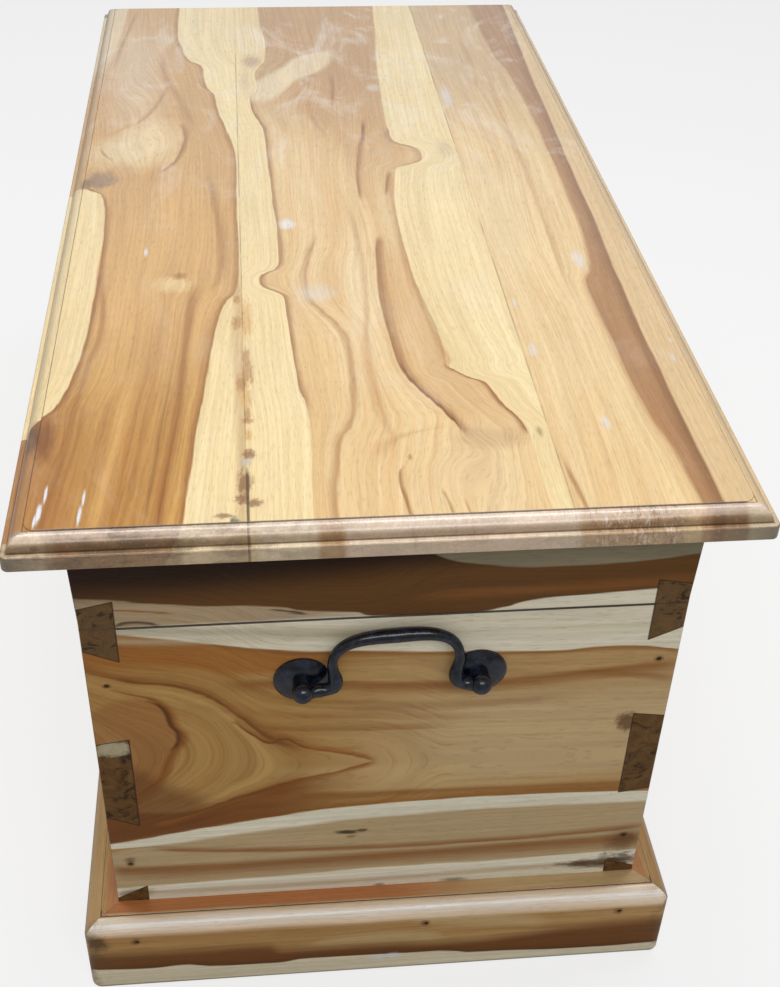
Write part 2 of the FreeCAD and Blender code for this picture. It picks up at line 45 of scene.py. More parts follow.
# ---------------------------------------------------------------- studio floor and light
# A pale floor sheet and a sky that the camera sees as white. A long soft box hangs above the chest,
# and a slim one behind the viewer fills the near end and glints on mouldings and iron.
FLOOR_HALF = 30.0
FLOOR_GREY = 0.55            # what the floor throws back on the chest
FLOOR_GLOW = 0.72            # share of plain white in the floor that is seen
SKY_FILL = 0.36
LAMPS = (("soft_box", (0.10, 0.05, 2.50), (0.55, 2.2), 30.0), ("fill_box", (-1.60, -0.10, 1.58), (0.40, 1.2), 8.4))


def feed(tree, socket, value):
    if isinstance(value, bpy.types.NodeSocket):
        tree.links.new(value, socket)
    else:
        socket.default_value = value


def seen_white(tree):
    # 1 for the camera's own rays, 0 for all the others
    return tree.nodes.new("ShaderNodeLightPath").outputs["Is Camera Ray"]


def coloured(tree, kind, grey):
    step = tree.nodes.new(kind)
    step.inputs["Color"].default_value = (grey, grey, grey, 1.0)
    return step


def mixed(tree, share, first, second):
    step = tree.nodes.new("ShaderNodeMixShader")
    for socket, value in zip(step.inputs, (share, first.outputs[0], second.outputs[0])):
        feed(tree, socket, value)
    return step


sky = bpy.data.worlds.new("studio_sky")
sky.use_nodes = True
sky.node_tree.nodes.clear()
bpy.context.scene.world = sky
sky_lit = coloured(sky.node_tree, "ShaderNodeBackground", 1.0)
sky_lit.inputs["Strength"].default_value = SKY_FILL
sky_seen = coloured(sky.node_tree, "ShaderNodeBackground", 1.0)
sky_mix = mixed(sky.node_tree, seen_white(sky.node_tree), sky_lit, sky_seen)
sky_out = sky.node_tree.nodes.new("ShaderNodeOutputWorld")
feed(sky.node_tree, sky_out.inputs["Surface"], sky_mix.outputs[0])

floor_paper = bpy.data.materials.new("floor_paper")
floor_paper.use_nodes = True
paper = floor_paper.node_tree
paper.nodes.clear()
paper_lit = coloured(paper, "ShaderNodeBsdfDiffuse", FLOOR_GREY)
paper_shaded = coloured(paper, "ShaderNodeBsdfDiffuse", 0.9)
paper_white = coloured(paper, "ShaderNodeEmission", 1.0)
paper_seen = mixed(paper, FLOOR_GLOW, paper_shaded, paper_white)
paper_mix = mixed(paper, seen_white(paper), paper_lit, paper_seen)
paper_out = paper.nodes.new("ShaderNodeOutputMaterial")
feed(paper, paper_out.inputs["Surface"], paper_mix.outputs[0])

floor_mesh = bpy.data.meshes.new("floor_sheet")
floor_mesh.from_pydata(
    [(-FLOOR_HALF, -FLOOR_HALF, 0), (FLOOR_HALF, -FLOOR_HALF, 0),
     (FLOOR_HALF, FLOOR_HALF, 0), (-FLOOR_HALF, FLOOR_HALF, 0)], [], [(0, 1, 2, 3)])
floor_mesh.materials.append(floor_paper)
floor = bpy.data.objects.new("floor_sheet", floor_mesh)
bpy.context.scene.collection.objects.link(floor)

for name, place_at, size, watts in LAMPS:
    lamp = bpy.data.lights.new(name, "AREA")
    lamp.shape = "RECTANGLE"
    lamp.size, lamp.size_y = size
    lamp.energy = watts
    back = (Vector(place_at) - Vector((0, 0, 0.35))).normalized()
    width = Vector((0, 1, 0)).cross(back).normalized()
    stand = bpy.data.objects.new(name, lamp)
    stand.matrix_world = Matrix.Translation(place_at) @ Matrix(
        (width, back.cross(width), back)).transposed().to_4x4()
    bpy.context.scene.collection.objects.link(stand)


# ---------------------------------------------------------------- end panels
# Two fast-grown teak boards glued edge to edge, with the tails of the dovetails cut on both ends and
# the cream sapwood left on. The lid's end rail is the top of the same board, sawn off after gluing
# up, so the figure runs on through the cut. Clear varnish over it has worn and gathered dirt.
MM = 0.001
PARTING = 382.0
PINS = {1: ((18, 26, 84, 93), (179, 183, 266, 270), (347, 359, 400, 405)),
        -1: ((18, 26, 82, 96), (172, 184, 266, 270), (350, 362, 401, 407))}
TAIL_ROOT, TAIL_END = 189.0, 214.0


def srgb(red, green, blue):
    def linear(level):
        level /= 255
        return level / 12.92 if level <= 0.04045 else ((level + 0.055) / 1.055) ** 2.4
    return (linear(red), linear(green), linear(blue), 1.0)


CREAM = srgb(250, 228, 176)
IVORY = srgb(250, 244, 222)
WHEAT = srgb(232, 200, 142)
CHESTNUT = srgb(150, 92, 38)
UMBER = srgb(92, 54, 20)
SOOT_AND_SHADE = srgb(44, 30, 20)
GLINT_AND_SCUFF = srgb(236, 240, 246)


def calc(tree, operation, *values):
    step = tree.nodes.new("ShaderNodeMath")
    step.operation = operation
    for socket, value in zip(step.inputs, values):
        feed(tree, socket, value)
    return step.outputs[0]


def ramp(tree, value, low, high, out_low=0.0, out_high=1.0, smooth=True):
    step = tree.nodes.new("ShaderNodeMapRange")
    step.interpolation_type = "SMOOTHSTEP" if smooth else "LINEAR"
    for socket, number in zip(step.inputs, (value, low, high, out_low, out_high)):
        feed(tree, socket, number)
    return step.outputs[0]


def stretched(tree, where, along, across, depth):
    step = tree.nodes.new("ShaderNodeVectorMath")
    step.operation = "MULTIPLY"
    feed(tree, step.inputs[0], where)
    feed(tree, step.inputs[1], (along, across, depth))
    return step.outputs[0]


def noise(tree, where, scale, detail=2.0, rough=0.5, twist=0.0):
    step = tree.nodes.new("ShaderNodeTexNoise")
    feed(tree, step.inputs["Vector"], where)
    for name, number in (("Scale", scale), ("Detail", detail), ("Roughness", rough), ("Distortion", twist)):
        feed(tree, step.inputs[name], number)
    return step.outputs[0]


def grain_noise(tree, board, along, across, detail=2.0, rough=0.5, twist=0.0):
    return noise(tree, stretched(tree, board, along, across, across), 1.0, detail, rough, twist)


def blend_colour(tree, share, under, over, mode="MIX"):
    step = tree.nodes.new("ShaderNodeMix")
    step.data_type = "RGBA"
    step.blend_type = mode
    for index, value in ((0, share), (6, under), (7, over)):
        feed(tree, step.inputs[index], value)
    return step.outputs[2]


def new_group(name, inputs, outputs):
    group = bpy.data.node_groups.new(name, "ShaderNodeTree")
    for label in inputs:
        kind = "NodeSocketVector" if label in ("Board", "Position") else "NodeSocketFloat"
        group.interface.new_socket(label, in_out="INPUT", socket_type=kind)
    for label in outputs:
        group.interface.new_socket(label, in_out="OUTPUT", socket_type="NodeSocketFloat")
    given = group.nodes.new("NodeGroupInput").outputs
    return group, given, group.nodes.new("NodeGroupOutput").inputs


def placed(tree, group, **values):
    use = tree.nodes.new("ShaderNodeGroup")
    use.node_tree = group
    for label, value in values.items():
        feed(tree, use.inputs[label.replace("_", " ")], value)
    return use.outputs


def build_sway():
    # how far the figure wanders off its line, slowly along the board and fibre by fibre
    group, given, made = new_group("figure_sway", ["Board"], ["Sway"])
    slow = grain_noise(group, given["Board"], 5.0, 14.0)
    quick = grain_noise(group, given["Board"], 16.0, 240.0)
    sway = calc(group, "ADD", calc(group, "MULTIPLY_ADD", slow, 0.005, -0.0025),
                calc(group, "MULTIPLY_ADD", quick, 0.0036, -0.0018))
    feed(group, made["Sway"], sway)
    return group


def build_grain():
    # growth rings sawn through at a slant, with fine fibre lines and open pores between them
    group, given, made = new_group("teak_grain", ["Board"], ["Bands", "Rings", "Flecks", "Fibre", "Pores", "Relief"])
    board = given["Board"]
    broad = grain_noise(group, board, 1.3, 30.0, 3.0, 0.55, 0.5)
    streaky = grain_noise(group, board, 1.8, 150.0, 2.0, 0.6, 0.6)
    bands = calc(group, "MULTIPLY_ADD", streaky, 0.42, calc(group, "MULTIPLY", broad, 0.58))
    contour = grain_noise(group, board, 1.1, 19.0, 1.6, 0.5, 0.3)
    saw = calc(group, "FRACT", calc(group, "MULTIPLY", contour, 8.0))
    rings = calc(group, "MAXIMUM", ramp(group, saw, 0.7, 0.0), ramp(group, saw, 0.84, 1.0))
    flecks = ramp(group, grain_noise(group, board, 17.0, 330.0, 1.0), 0.54, 0.70)
    fibre = grain_noise(group, board, 9.0, 620.0)
    pores = ramp(group, grain_noise(group, board, 90.0, 1900.0, 1.0), 0.57, 0.72)
    relief = calc(group, "MULTIPLY_ADD", fibre, 0.5, calc(group, "MULTIPLY", pores, -0.7))
    for label, value in (("Bands", ramp(group, bands, 0.34, 0.66)), ("Rings", rings),
                         ("Flecks", flecks), ("Fibre", fibre), ("Pores", pores), ("Relief", relief)):
        feed(group, made[label], value)
    return group


def build_wear():
    # bloom and dust on old varnish, and the shallow waves that a plane and a brush leave
    group, given, made = new_group("old_varnish", ["Position"], ["Haze", "Specks", "Waves"])
    where = given["Position"]
    for label, value in (("Haze", ramp(group, noise(group, where, 11.0, 4.0, 0.6), 0.42, 0.74)),
                         ("Specks", ramp(group, noise(group, where, 330.0, 2.0, 0.7), 0.70, 0.78)),
                         ("Waves", noise(group, where, 26.0, 2.0))):
        feed(group, made[label], value)
    return group


def build_edge():
    # 1 above a line that wanders along the board
    group, given, made = new_group("figure_edge", ["Across", "Line", "Feather"], ["Beyond"])
    offset = calc(group, "SUBTRACT", given["Across"], given["Line"])
    feather = given["Feather"]
    feed(group, made["Beyond"], ramp(group, offset, calc(group, "MULTIPLY", feather, -1.0), feather))
    return group


def build_streak():
    # a dark line of the figure, which fades over its own width on either side
    group, given, made = new_group("figure_streak", ["Across", "Line", "Below", "Above"], ["Near"])
    offset = calc(group, "SUBTRACT", given["Across"], given["Line"])
    under = ramp(group, offset, calc(group, "MULTIPLY", given["Below"], -1.0), 0.0)
    over = ramp(group, offset, given["Above"], 0.0)
    feed(group, made["Near"], calc(group, "MULTIPLY", under, over))
    return group


def build_spot():
    # an oval place on the board, soft or ragged at its rim
    group, given, made = new_group(
        "figure_spot", ["Along", "Across", "Middle Along", "Middle Across", "Half Length", "Half Width", "Soft",
                        "Ragged"], ["Inside"])
    u = calc(group, "DIVIDE", calc(group, "SUBTRACT", given["Along"], given["Middle Along"]), given["Half Length"])
    v = calc(group, "DIVIDE", calc(group, "SUBTRACT", given["Across"], given["Middle Across"]), given["Half Width"])
    radius = calc(group, "SQRT", calc(group, "ADD", calc(group, "MULTIPLY", u, u), calc(group, "MULTIPLY", v, v)))
    place = group.nodes.new("ShaderNodeCombineXYZ")
    for socket, value in zip(place.inputs, (u, v, calc(group, "MULTIPLY", given["Middle Along"], 90.0))):
        feed(group, socket, value)
    bites = calc(group, "SUBTRACT", noise(group, place.outputs[0], 1.7, 4.0, 0.65), 0.5)
    radius = calc(group, "ADD", radius, calc(group, "MULTIPLY", bites, given["Ragged"]))
    rim, soft = calc(group, "ADD", 1.0, given["Soft"]), calc(group, "SUBTRACT", 1.0, given["Soft"])
    feed(group, made["Inside"], ramp(group, radius, rim, soft))
    return group


def build_swirl():
    # a knot or a swirl pushes the growth rings apart and they close up again beyond it
    group, given, made = new_group(
        "figure_swirl", ["Along", "Flow", "Middle Along", "Middle Across", "Half Length", "Half Width"], ["Flow"])
    t = calc(group, "SUBTRACT", given["Flow"], given["Middle Across"])
    u = calc(group, "DIVIDE", calc(group, "SUBTRACT", given["Along"], given["Middle Along"]), given["Half Length"])
    v = calc(group, "DIVIDE", t, given["Half Width"])
    fall = calc(group, "EXPONENT", calc(group, "MULTIPLY_ADD", calc(group, "MULTIPLY", u, u), -1.0,
                                        calc(group, "MULTIPLY", calc(group, "MULTIPLY", v, v), -0.5)))
    feed(group, made["Flow"], calc(group, "SUBTRACT", given["Flow"],
                                   calc(group, "MULTIPLY", calc(group, "MULTIPLY", fall, 0.85), t)))
    return group


FIGURE_SWAY, GRAIN, WEAR = build_sway(), build_grain(), build_wear()
FIGURE_EDGE, FIGURE_STREAK, FIGURE_SPOT, FIGURE_SWIRL = build_edge(), build_streak(), build_spot(), build_swirl()


class TeakBoard:
    """One board. Its figure is laid on in millimetres: along the grain, and across it."""

    def __init__(self, name, grain, across, seed=0.0):
        self.material = bpy.data.materials.new(name)
        self.material.use_nodes = True
        self.tree = tree = self.material.node_tree
        tree.nodes.clear()
        where = tree.nodes.new("ShaderNodeTexCoord")
        self.position = where.outputs["Object"]
        self.xyz = self.parts(self.position)
        self.normals = self.parts(where.outputs["Normal"])
        self.grain_axis, self.seed = grain, seed
        self.depth = self.xyz[({"x", "y", "z"} - {grain, across}).pop()]
        self.along = self.xyz[grain]
        self.wear = placed(tree, WEAR, Position=self.position)
        self.end_grain = ramp(tree, calc(tree, "ABSOLUTE", self.normals[grain]), 0.6, 0.9)
        self.lay(self.xyz[across])

    def parts(self, vector):
        step = self.tree.nodes.new("ShaderNodeSeparateXYZ")
        feed(self.tree, step.inputs[0], vector)
        return dict(zip("xyz", step.outputs))

    def vector(self, along, across):
        step = self.tree.nodes.new("ShaderNodeCombineXYZ")
        for socket, value in zip(step.inputs, (along, calc(self.tree, "ADD", across, self.seed), self.depth)):
            feed(self.tree, socket, value)
        return step.outputs[0]

    def lay(self, flat_across):
        # flat_across is measured over the face; across wanders off it with the fibre
        self.flat_across = flat_across
        sway = placed(self.tree, FIGURE_SWAY, Board=self.vector(self.along, flat_across))
        self.across = self.flow = calc(self.tree, "ADD", flat_across, sway[0])
        return self

    def line_at(self, points, upright=False):
        # where a line of the figure runs, read off at this place along the board
        tree = self.tree
        points = sorted(points)
        low, high = points[0][0] * MM, points[-1][0] * MM
        levels = [level for _, level in points]
        bottom, top = min(levels) - 1.0, max(levels) + 1.0
        curve = tree.nodes.new("ShaderNodeFloatCurve")
        dots = curve.mapping.curves[0].points
        while len(dots) < len(points):
            dots.new(0.5, 0.5)
        for dot, (along, level) in zip(dots, points):
            dot.location = ((along * MM - low) / (high - low), (level - bottom) / (top - bottom))
        curve.mapping.update()
        along = self.flat_across if upright else self.along
        feed(tree, curve.inputs["Value"], ramp(tree, along, low, high, smooth=False))
        return calc(tree, "MULTIPLY_ADD", curve.outputs[0], (top - bottom) * MM, bottom * MM)

    def swirl(self, at, size):
        self.flow = placed(self.tree, FIGURE_SWIRL, Along=self.along, Flow=self.flow, Middle_Along=at[0] * MM,
                           Middle_Across=at[1] * MM, Half_Length=size[0] * MM, Half_Width=size[1] * MM)[0]
        return self

    def follow(self, *lines):
        # growth rings run along these lines, each given with its level on a straight board
        total = lines[0][0] * MM
        edges = [(level * MM, self.line_at(points)) for level, points in lines]
        for (low_level, low), (high_level, high) in zip(edges, edges[1:]):
            rise = ramp(self.tree, self.flow, low, high, 0.0, high_level - low_level, smooth=False)
            total = calc(self.tree, "ADD", rise, total)
        self.flow = total
        return self

    def arches(self, middle, depth, fade):
        # growth rings cut at a slant stand as nested arches round a middle line, and run out straight
        # from the second place in fade to the first
        tree = self.tree
        share = ramp(tree, self.along, fade[0] * MM, fade[1] * MM)
        rise = calc(tree, "MULTIPLY", calc(tree, "SUBTRACT", self.flow, self.line_at(middle)),
                    ramp(tree, share, 0.0, 1.0, 0.5, 1.0, smooth=False))
        level = calc(tree, "MULTIPLY_ADD", calc(tree, "SUBTRACT", self.line_at(depth), 0.012), share, 0.012)
        round_rings = calc(tree, "SQRT", calc(tree, "ADD", calc(tree, "MULTIPLY", rise, rise),
                                              calc(tree, "MULTIPLY", level, level)))
        self.flow = calc(tree, "ADD", round_rings, ramp(tree, share, 0.0, 1.0, 0.096, 0.0, smooth=False))
        return self

    def grow(self, light, dark, ring=CHESTNUT, ring_share=0.15, sap=CREAM, sap_dark=WHEAT, flecks=0.26):
        tree = self.tree
        self.grain = placed(tree, GRAIN, Board=self.vector(self.along, self.flow))
        self.colour = blend_colour(tree, self.grain["Bands"], light, dark)
        self.paint(self.grain["Rings"], ring, ring_share)
        self.paint(self.grain["Flecks"], ring, flecks)
        self.sap = blend_colour(tree, calc(tree, "MULTIPLY", self.grain["Bands"], 0.55), sap, sap_dark)
        return self

    def paint(self, mask, colour, share=1.0, mode="MIX"):
        if share != 1.0:
            mask = calc(self.tree, "MULTIPLY", mask, share)
        self.colour = blend_colour(self.tree, mask, self.colour, colour, mode)
        return self

    def limits(self, mask, start, end, soft, upright=False):
        along = self.flat_across if upright else self.along
        for at, sign in ((start, 1), (end, -1)):
            if at is not None:
                gate = ramp(self.tree, along, (at - sign * soft) * MM, (at + sign * soft) * MM)
                mask = calc(self.tree, "MULTIPLY", mask, gate)
        return mask

    def area(self, colour, above=None, below=None, start=None, end=None, feather=1.2, soft=8.0, share=1.0):
        mask = None
        for points, under in ((above, False), (below, True)):
            if points is None:
                continue
            side = placed(self.tree, FIGURE_EDGE, Across=self.across, Line=self.line_at(points),
                          Feather=feather * MM)[0]
            if under:
                side = calc(self.tree, "SUBTRACT", 1.0, side)
            mask = side if mask is None else calc(self.tree, "MULTIPLY", mask, side)
        return self.paint(self.limits(mask, start, end, soft), colour, share)

    def streak(self, colour, points, below, above, start=None, end=None, soft=8.0, share=1.0, upright=False):
        if upright:
            points = [(level, along) for along, level in points]
        near = placed(self.tree, FIGURE_STREAK, Across=self.along if upright else self.across,
                      Line=self.line_at(points, upright), Below=below * MM, Above=above * MM)[0]
        start = min(points)[0] if start is None else start
        end = max(points)[0] if end is None else end
        return self.paint(self.limits(near, start, end, soft, upright), colour, share)

    def seam(self, level, half_width, share, upright_only=False):
        # a dark line along a level: dirt in a glue line, painted shade in a quirk, and on a saw cut painted shade over
        # the lit eased edges, kept off the level sawn faces
        off = calc(self.tree, "ABSOLUTE", calc(self.tree, "SUBTRACT", self.flat_across, level * MM))
        near = ramp(self.tree, off, half_width * MM, half_width * 0.6 * MM)
        if upright_only:
            level_face = calc(self.tree, "ABSOLUTE", self.normals["z"])
            near = calc(self.tree, "MULTIPLY", near, ramp(self.tree, level_face, 0.999, 0.98))
        return self.paint(near, SOOT_AND_SHADE, share)

    def spot(self, colour, at, size, soft=0.4, share=1.0, ragged=1.3, flat=False):
        oval = placed(self.tree, FIGURE_SPOT, Along=self.along, Across=self.flat_across if flat else self.across,
                      Middle_Along=at[0] * MM, Middle_Across=at[1] * MM, Half_Length=size[0] * MM,
                      Half_Width=size[1] * MM, Soft=soft, Ragged=ragged)
        return self.paint(oval[0], colour, share)

    def varnish(self, end_colour=UMBER, end_share=0.55, roughness=0.40, coat=0.5, coat_roughness=0.14, specular=0.3,
                coat_more=None):
        tree, grain, wear = self.tree, self.grain, self.wear
        lines = ramp(tree, grain["Fibre"], 0.3, 0.7, 0.91, 1.05)
        tone = tree.nodes.new("ShaderNodeCombineColor")
        for socket in tone.inputs[:3]:
            feed(tree, socket, lines)
        self.colour = blend_colour(tree, 1.0, self.colour, tone.outputs[0], "MULTIPLY")
        self.paint(grain["Pores"], UMBER, 0.16)
        self.paint(self.end_grain, end_colour, end_share)
        self.paint(wear["Specks"], UMBER, 0.35)
        shader = tree.nodes.new("ShaderNodeBsdfPrincipled")
        out = tree.nodes.new("ShaderNodeOutputMaterial")
        relief = tree.nodes.new("ShaderNodeBump")
        relief.inputs["Strength"].default_value = 0.35
        relief.inputs["Distance"].default_value = 0.0006
        feed(tree, relief.inputs["Height"], calc(tree, "MULTIPLY_ADD", wear["Waves"], 1.2, grain["Relief"]))
        rough = calc(tree, "MULTIPLY_ADD", wear["Haze"], 0.12, roughness)
        feed(tree, shader.inputs["Base Color"], self.colour)
        feed(tree, shader.inputs["Roughness"], calc(tree, "MULTIPLY_ADD", grain["Fibre"], 0.08, rough))
        feed(tree, shader.inputs["Normal"], relief.outputs[0])
        if coat:
            weight = ramp(tree, wear["Haze"], 0.0, 1.0, coat, coat * 0.6)
            if coat_more:
                weight = calc(tree, "MAXIMUM", weight, coat_more)
            feed(tree, shader.inputs["Coat Weight"], weight)
            shader.inputs["Coat Roughness"].default_value = coat_roughness
        shader.inputs["Specular IOR Level"].default_value = specular
        feed(tree, out.inputs["Surface"], shader.outputs[0])
        return self.material


def dress(name, material):
    for slot in node[name].material_slots:
        slot.material = material


def build_joint_lines():
    # dirt and old glue in the shoulders of the dovetails, on the face of the end
    group, given, made = new_group("joint_lines", ["Y", "Z"], ["Gap"])
    y, z = given["Y"], given["Z"]
    total = 0.0
    for side, pins in PINS.items():
        out = calc(group, "MULTIPLY", y, -side)
        tail = ramp(group, out, (TAIL_ROOT - 0.3) * MM, (TAIL_ROOT + 0.3) * MM)
        root = ramp(group, calc(group, "ABSOLUTE", calc(group, "SUBTRACT", out, TAIL_ROOT * MM)), 0.8 * MM, 0.2 * MM)
        for low_in, low_out, high_out, high_in in pins:
            for inner, outer in ((low_in, low_out), (high_in, high_out)):
                slope = ramp(group, out, TAIL_ROOT * MM, TAIL_END * MM, inner * MM, outer * MM, smooth=False)
                near = ramp(group, calc(group, "ABSOLUTE", calc(group, "SUBTRACT", z, slope)), 0.8 * MM, 0.2 * MM)
                total = calc(group, "MAXIMUM", total, calc(group, "MULTIPLY", near, tail))
            within = calc(group, "MULTIPLY", ramp(group, z, (low_in - 0.4) * MM, low_in * MM),
                          ramp(group, z, (high_in + 0.4) * MM, high_in * MM))
            total = calc(group, "MAXIMUM", total, calc(group, "MULTIPLY", root, within))
    feed(group, made["Gap"], total)
    return group


JOINT_LINES = build_joint_lines()


def joint_dirt(board, share=0.75):
    gap = placed(board.tree, JOINT_LINES, Y=board.xyz["y"], Z=board.xyz["z"])[0]
    end = ramp(board.tree, calc(board.tree, "ABSOLUTE", board.normals["x"]), 0.6, 0.9)
    return board.paint(calc(board.tree, "MULTIPLY", gap, end), SOOT_AND_SHADE, share)


def corner_nails_set(board):
    for y in (-200, 200):
        for z in (125, 327):
            board.spot(UMBER, (y, z), (3.2, 2.8), soft=0.6, share=0.7)


GLUE_TOP = ((214, 151), (189, 155), (164, 160), (114, 168), (54, 177), (14, 180), (-36, 183), (-136, 182), (-214, 178))
near_end = TeakBoard("near_end_teak", "y", "z", seed=0.31)
lower_flow = near_end.flow
near_end.arches(((214, 252), (189, 250), (150, 252), (131, 251), (104, 243), (79, 234), (44, 231), (8, 229),
                 (-60, 229), (-140, 226), (-214, 224)),
                ((214, 40), (189, 57), (150, 72), (131, 79), (104, 91), (79, 97), (44, 99.5), (8, 100),
                 (-214, 100)), fade=(-50, 20))
arch = near_end.flow
upper = placed(near_end.tree, FIGURE_EDGE, Across=near_end.across, Line=near_end.line_at(GLUE_TOP), Feather=0.5 * MM)[0]
near_end.flow = ramp(near_end.tree, upper, 0.0, 1.0, lower_flow, arch, smooth=False)
near_end.grow(srgb(202, 162, 98), srgb(176, 130, 68), CHESTNUT, 0.16, IVORY, srgb(222, 210, 176))
# paler across the right and inside the flame, warm heartwood at the upper left
near_end.area(srgb(222, 198, 154), above=((100, 250), (0, 206), (-214, 200)), below=((100, 304), (0, 300), (-214, 304)),
              end=0, feather=14, soft=80, share=0.6)
near_end.area(srgb(214, 182, 126), above=((90, 200), (0, 196), (-50, 196)), below=((90, 236), (30, 226), (-50, 228)),
              start=-60, end=70, feather=5, soft=30, share=0.55)
near_end.area(srgb(168, 104, 42), below=((214, 376), (139, 366), (84, 356), (30, 350), (-214, 346)),
              above=((214, 345), (139, 340), (84, 330), (30, 340), (-214, 338)), start=36, feather=7, soft=50, share=0.8)
near_end.area(srgb(196, 164, 118), above=((214, 312), (100, 316), (0, 300), (-214, 280)),
              below=((214, 342), (100, 338), (0, 344), (-214, 340)), end=10, feather=10, soft=60, share=0.5)
# the flame: sharp on its inner side, fading outwards
flame = placed(near_end.tree, FIGURE_STREAK, Across=arch, Line=100 * MM, Below=2.2 * MM, Above=8 * MM)[0]
near_end.paint(near_end.limits(flame, 62, None, 22), CHESTNUT, 0.8)
flame_core = placed(near_end.tree, FIGURE_STREAK, Across=arch, Line=100.3 * MM, Below=1.3 * MM, Above=2.4 * MM)[0]
near_end.paint(near_end.limits(flame_core, 70, 196, 12), UMBER, 0.5)
near_end.streak(CHESTNUT, ((110, 282), (98, 268), (84, 259), (78, 262), (60, 252), (44, 247), (24, 240), (8, 233)), 2.2, 8,
                share=0.9, soft=6)
near_end.streak(UMBER, ((110, 282), (98, 268), (84, 259), (78, 262), (60, 252), (44, 247)), 1.2, 2.2, share=0.5, soft=10)
near_end.streak(CHESTNUT, ((96, 279), (70, 272), (40, 270), (0, 268), (-40, 266)), 3, 9, share=0.5, soft=20)
near_end.streak(srgb(176, 116, 56), ((60, 250), (40, 248), (18, 248)), 3, 5, share=0.6, soft=8)
# the inner ring round the pith, and the dark heart at the lower left
near_end.area(srgb(160, 104, 54), below=((214, 300), (189, 312), (172, 312), (160, 300), (152, 270), (140, 256)),
              above=((214, 196), (189, 196), (160, 232), (152, 256), (140, 256)), start=150, feather=5, soft=10, share=0.6)
near_end.streak(CHESTNUT, ((196, 322), (184, 317), (168, 310), (159, 298), (156, 283), (150, 270), (157, 256),
                           (163, 243), (168, 228), (178, 216), (190, 206)), 8, 4, upright=True, share=0.95, soft=6)
near_end.streak(UMBER, ((172, 309), (161, 298), (158, 284), (153, 271), (159, 257)), 4.4, 3.0, upright=True, share=0.9,
                soft=5)
near_end.area(srgb(134, 80, 36), below=((214, 214), (150, 184), (114, 198), (60, 216), (20, 222)),
              above=((214, 150), (114, 168), (20, 178)), start=44, feather=3.5, soft=56, share=0.95)
near_end.area(srgb(120, 72, 34), below=((214, 250), (189, 238), (160, 214), (130, 196)),
              above=((214, 150), (189, 154), (130, 164)), start=128, feather=12, soft=22, share=0.7)
near_end.streak(CHESTNUT, ((8, 231), (24, 226), (40, 221), (64, 215.5), (90, 206), (114, 197.5), (131, 190.5), (150, 181),
                           (176, 172)), 7, 1.6, share=0.9, soft=6)
near_end.streak(UMBER, ((64, 215.5), (90, 206), (114, 197.5), (131, 190.5), (150, 181)), 2.4, 1.2, share=0.45, soft=16)
near_end.streak(srgb(150, 96, 48), ((110, 196), (54, 196), (14, 194), (-36, 194), (-110, 191), (-214, 188)), 8, 6,
                share=0.65, soft=30)
near_end.streak(CHESTNUT, ((60, 178), (14, 182), (-36, 184.5), (-86, 184), (-136, 182), (-214, 180)), 1.5, 7, share=0.6,
                soft=30)
# soft orange bands across the middle and the right
near_end.streak(srgb(150, 94, 44), ((110, 322), (70, 322), (34, 318), (-10, 314), (-60, 312), (-110, 314), (-160, 318),
                                    (-214, 322)), 13, 6, share=0.8, soft=16)
near_end.streak(CHESTNUT, ((-150, 315), (-186, 311), (-214, 305)), 6, 6, share=0.55, soft=18)
near_end.streak(srgb(170, 116, 64), ((130, 300), (70, 288), (20, 284), (-60, 276)), 7, 7, share=0.4, soft=30)
# the pale band under the saw cut, and the brown rail above it
near_end.area(near_end.sap, share=0.92, above=((214, 383), (189, 377.5), (164, 372), (139, 367), (114, 361.5), (84, 356), (54, 352),
                                   (-11, 347.5), (-86, 343.5), (-124, 341.5), (-161, 343.5), (-186, 341), (-214, 336)),
              feather=0.9)
near_end.streak(srgb(150, 98, 52), ((214, 382), (189, 376), (139, 365.5), (84, 354.5), (54, 350.5), (-11, 346),
                                    (-86, 342), (-124, 340), (-161, 342), (-214, 334.5)), 5, 1.0, share=0.75)
near_end.streak(srgb(206, 190, 156), ((214, 372), (100, 366), (-50, 364), (-214, 362)), 6, 5, share=0.5)
near_end.streak(srgb(182, 168, 140), ((214, 382), (140, 376), (60, 370), (10, 366)), 8, 8, share=0.7, soft=30)
near_end.streak(srgb(150, 104, 58), ((30, 292), (-40, 290), (-130, 292)), 9, 9, share=0.45, soft=30)
near_end.area(srgb(160, 124, 78), above=((214, 383), (-60, 383)), start=20, feather=2, soft=60, share=0.75)
near_end.area(srgb(104, 68, 30), above=((214, 411), (189, 408), (164, 404), (139, 401), (89, 397), (74, 395), (59, 390),
                                        (24, 387), (10, 383), (-60, 382), (-78, 385), (-106, 392), (-148, 395),
                                        (-214, 398)), feather=1.0)
near_end.streak(CHESTNUT, ((192, 399), (170, 397), (150, 394)), 1.6, 1.4, share=0.8, soft=6)
near_end.streak(SOOT_AND_SHADE, ((82, 393), (68, 390), (58, 388)), 2.0, 1.4, share=0.8, soft=4)
near_end.streak(srgb(144, 92, 44), ((-30, 398), (-80, 400), (-140, 402), (-214, 404)), 8, 8, share=0.6, soft=30)
# painted shade: the top of the rail painted near black under the lid's overhang
near_end.area(srgb(46, 26, 10), above=((214, 412), (100, 416), (0, 424), (-214, 452)), feather=15, share=1.0)
near_end.area(srgb(140, 130, 104), above=((-14, 450), (-26, 438), (-48, 428), (-73, 423.5), (-111, 421), (-161, 423),
                                          (-214, 428)), end=-20, feather=1.0, soft=6)
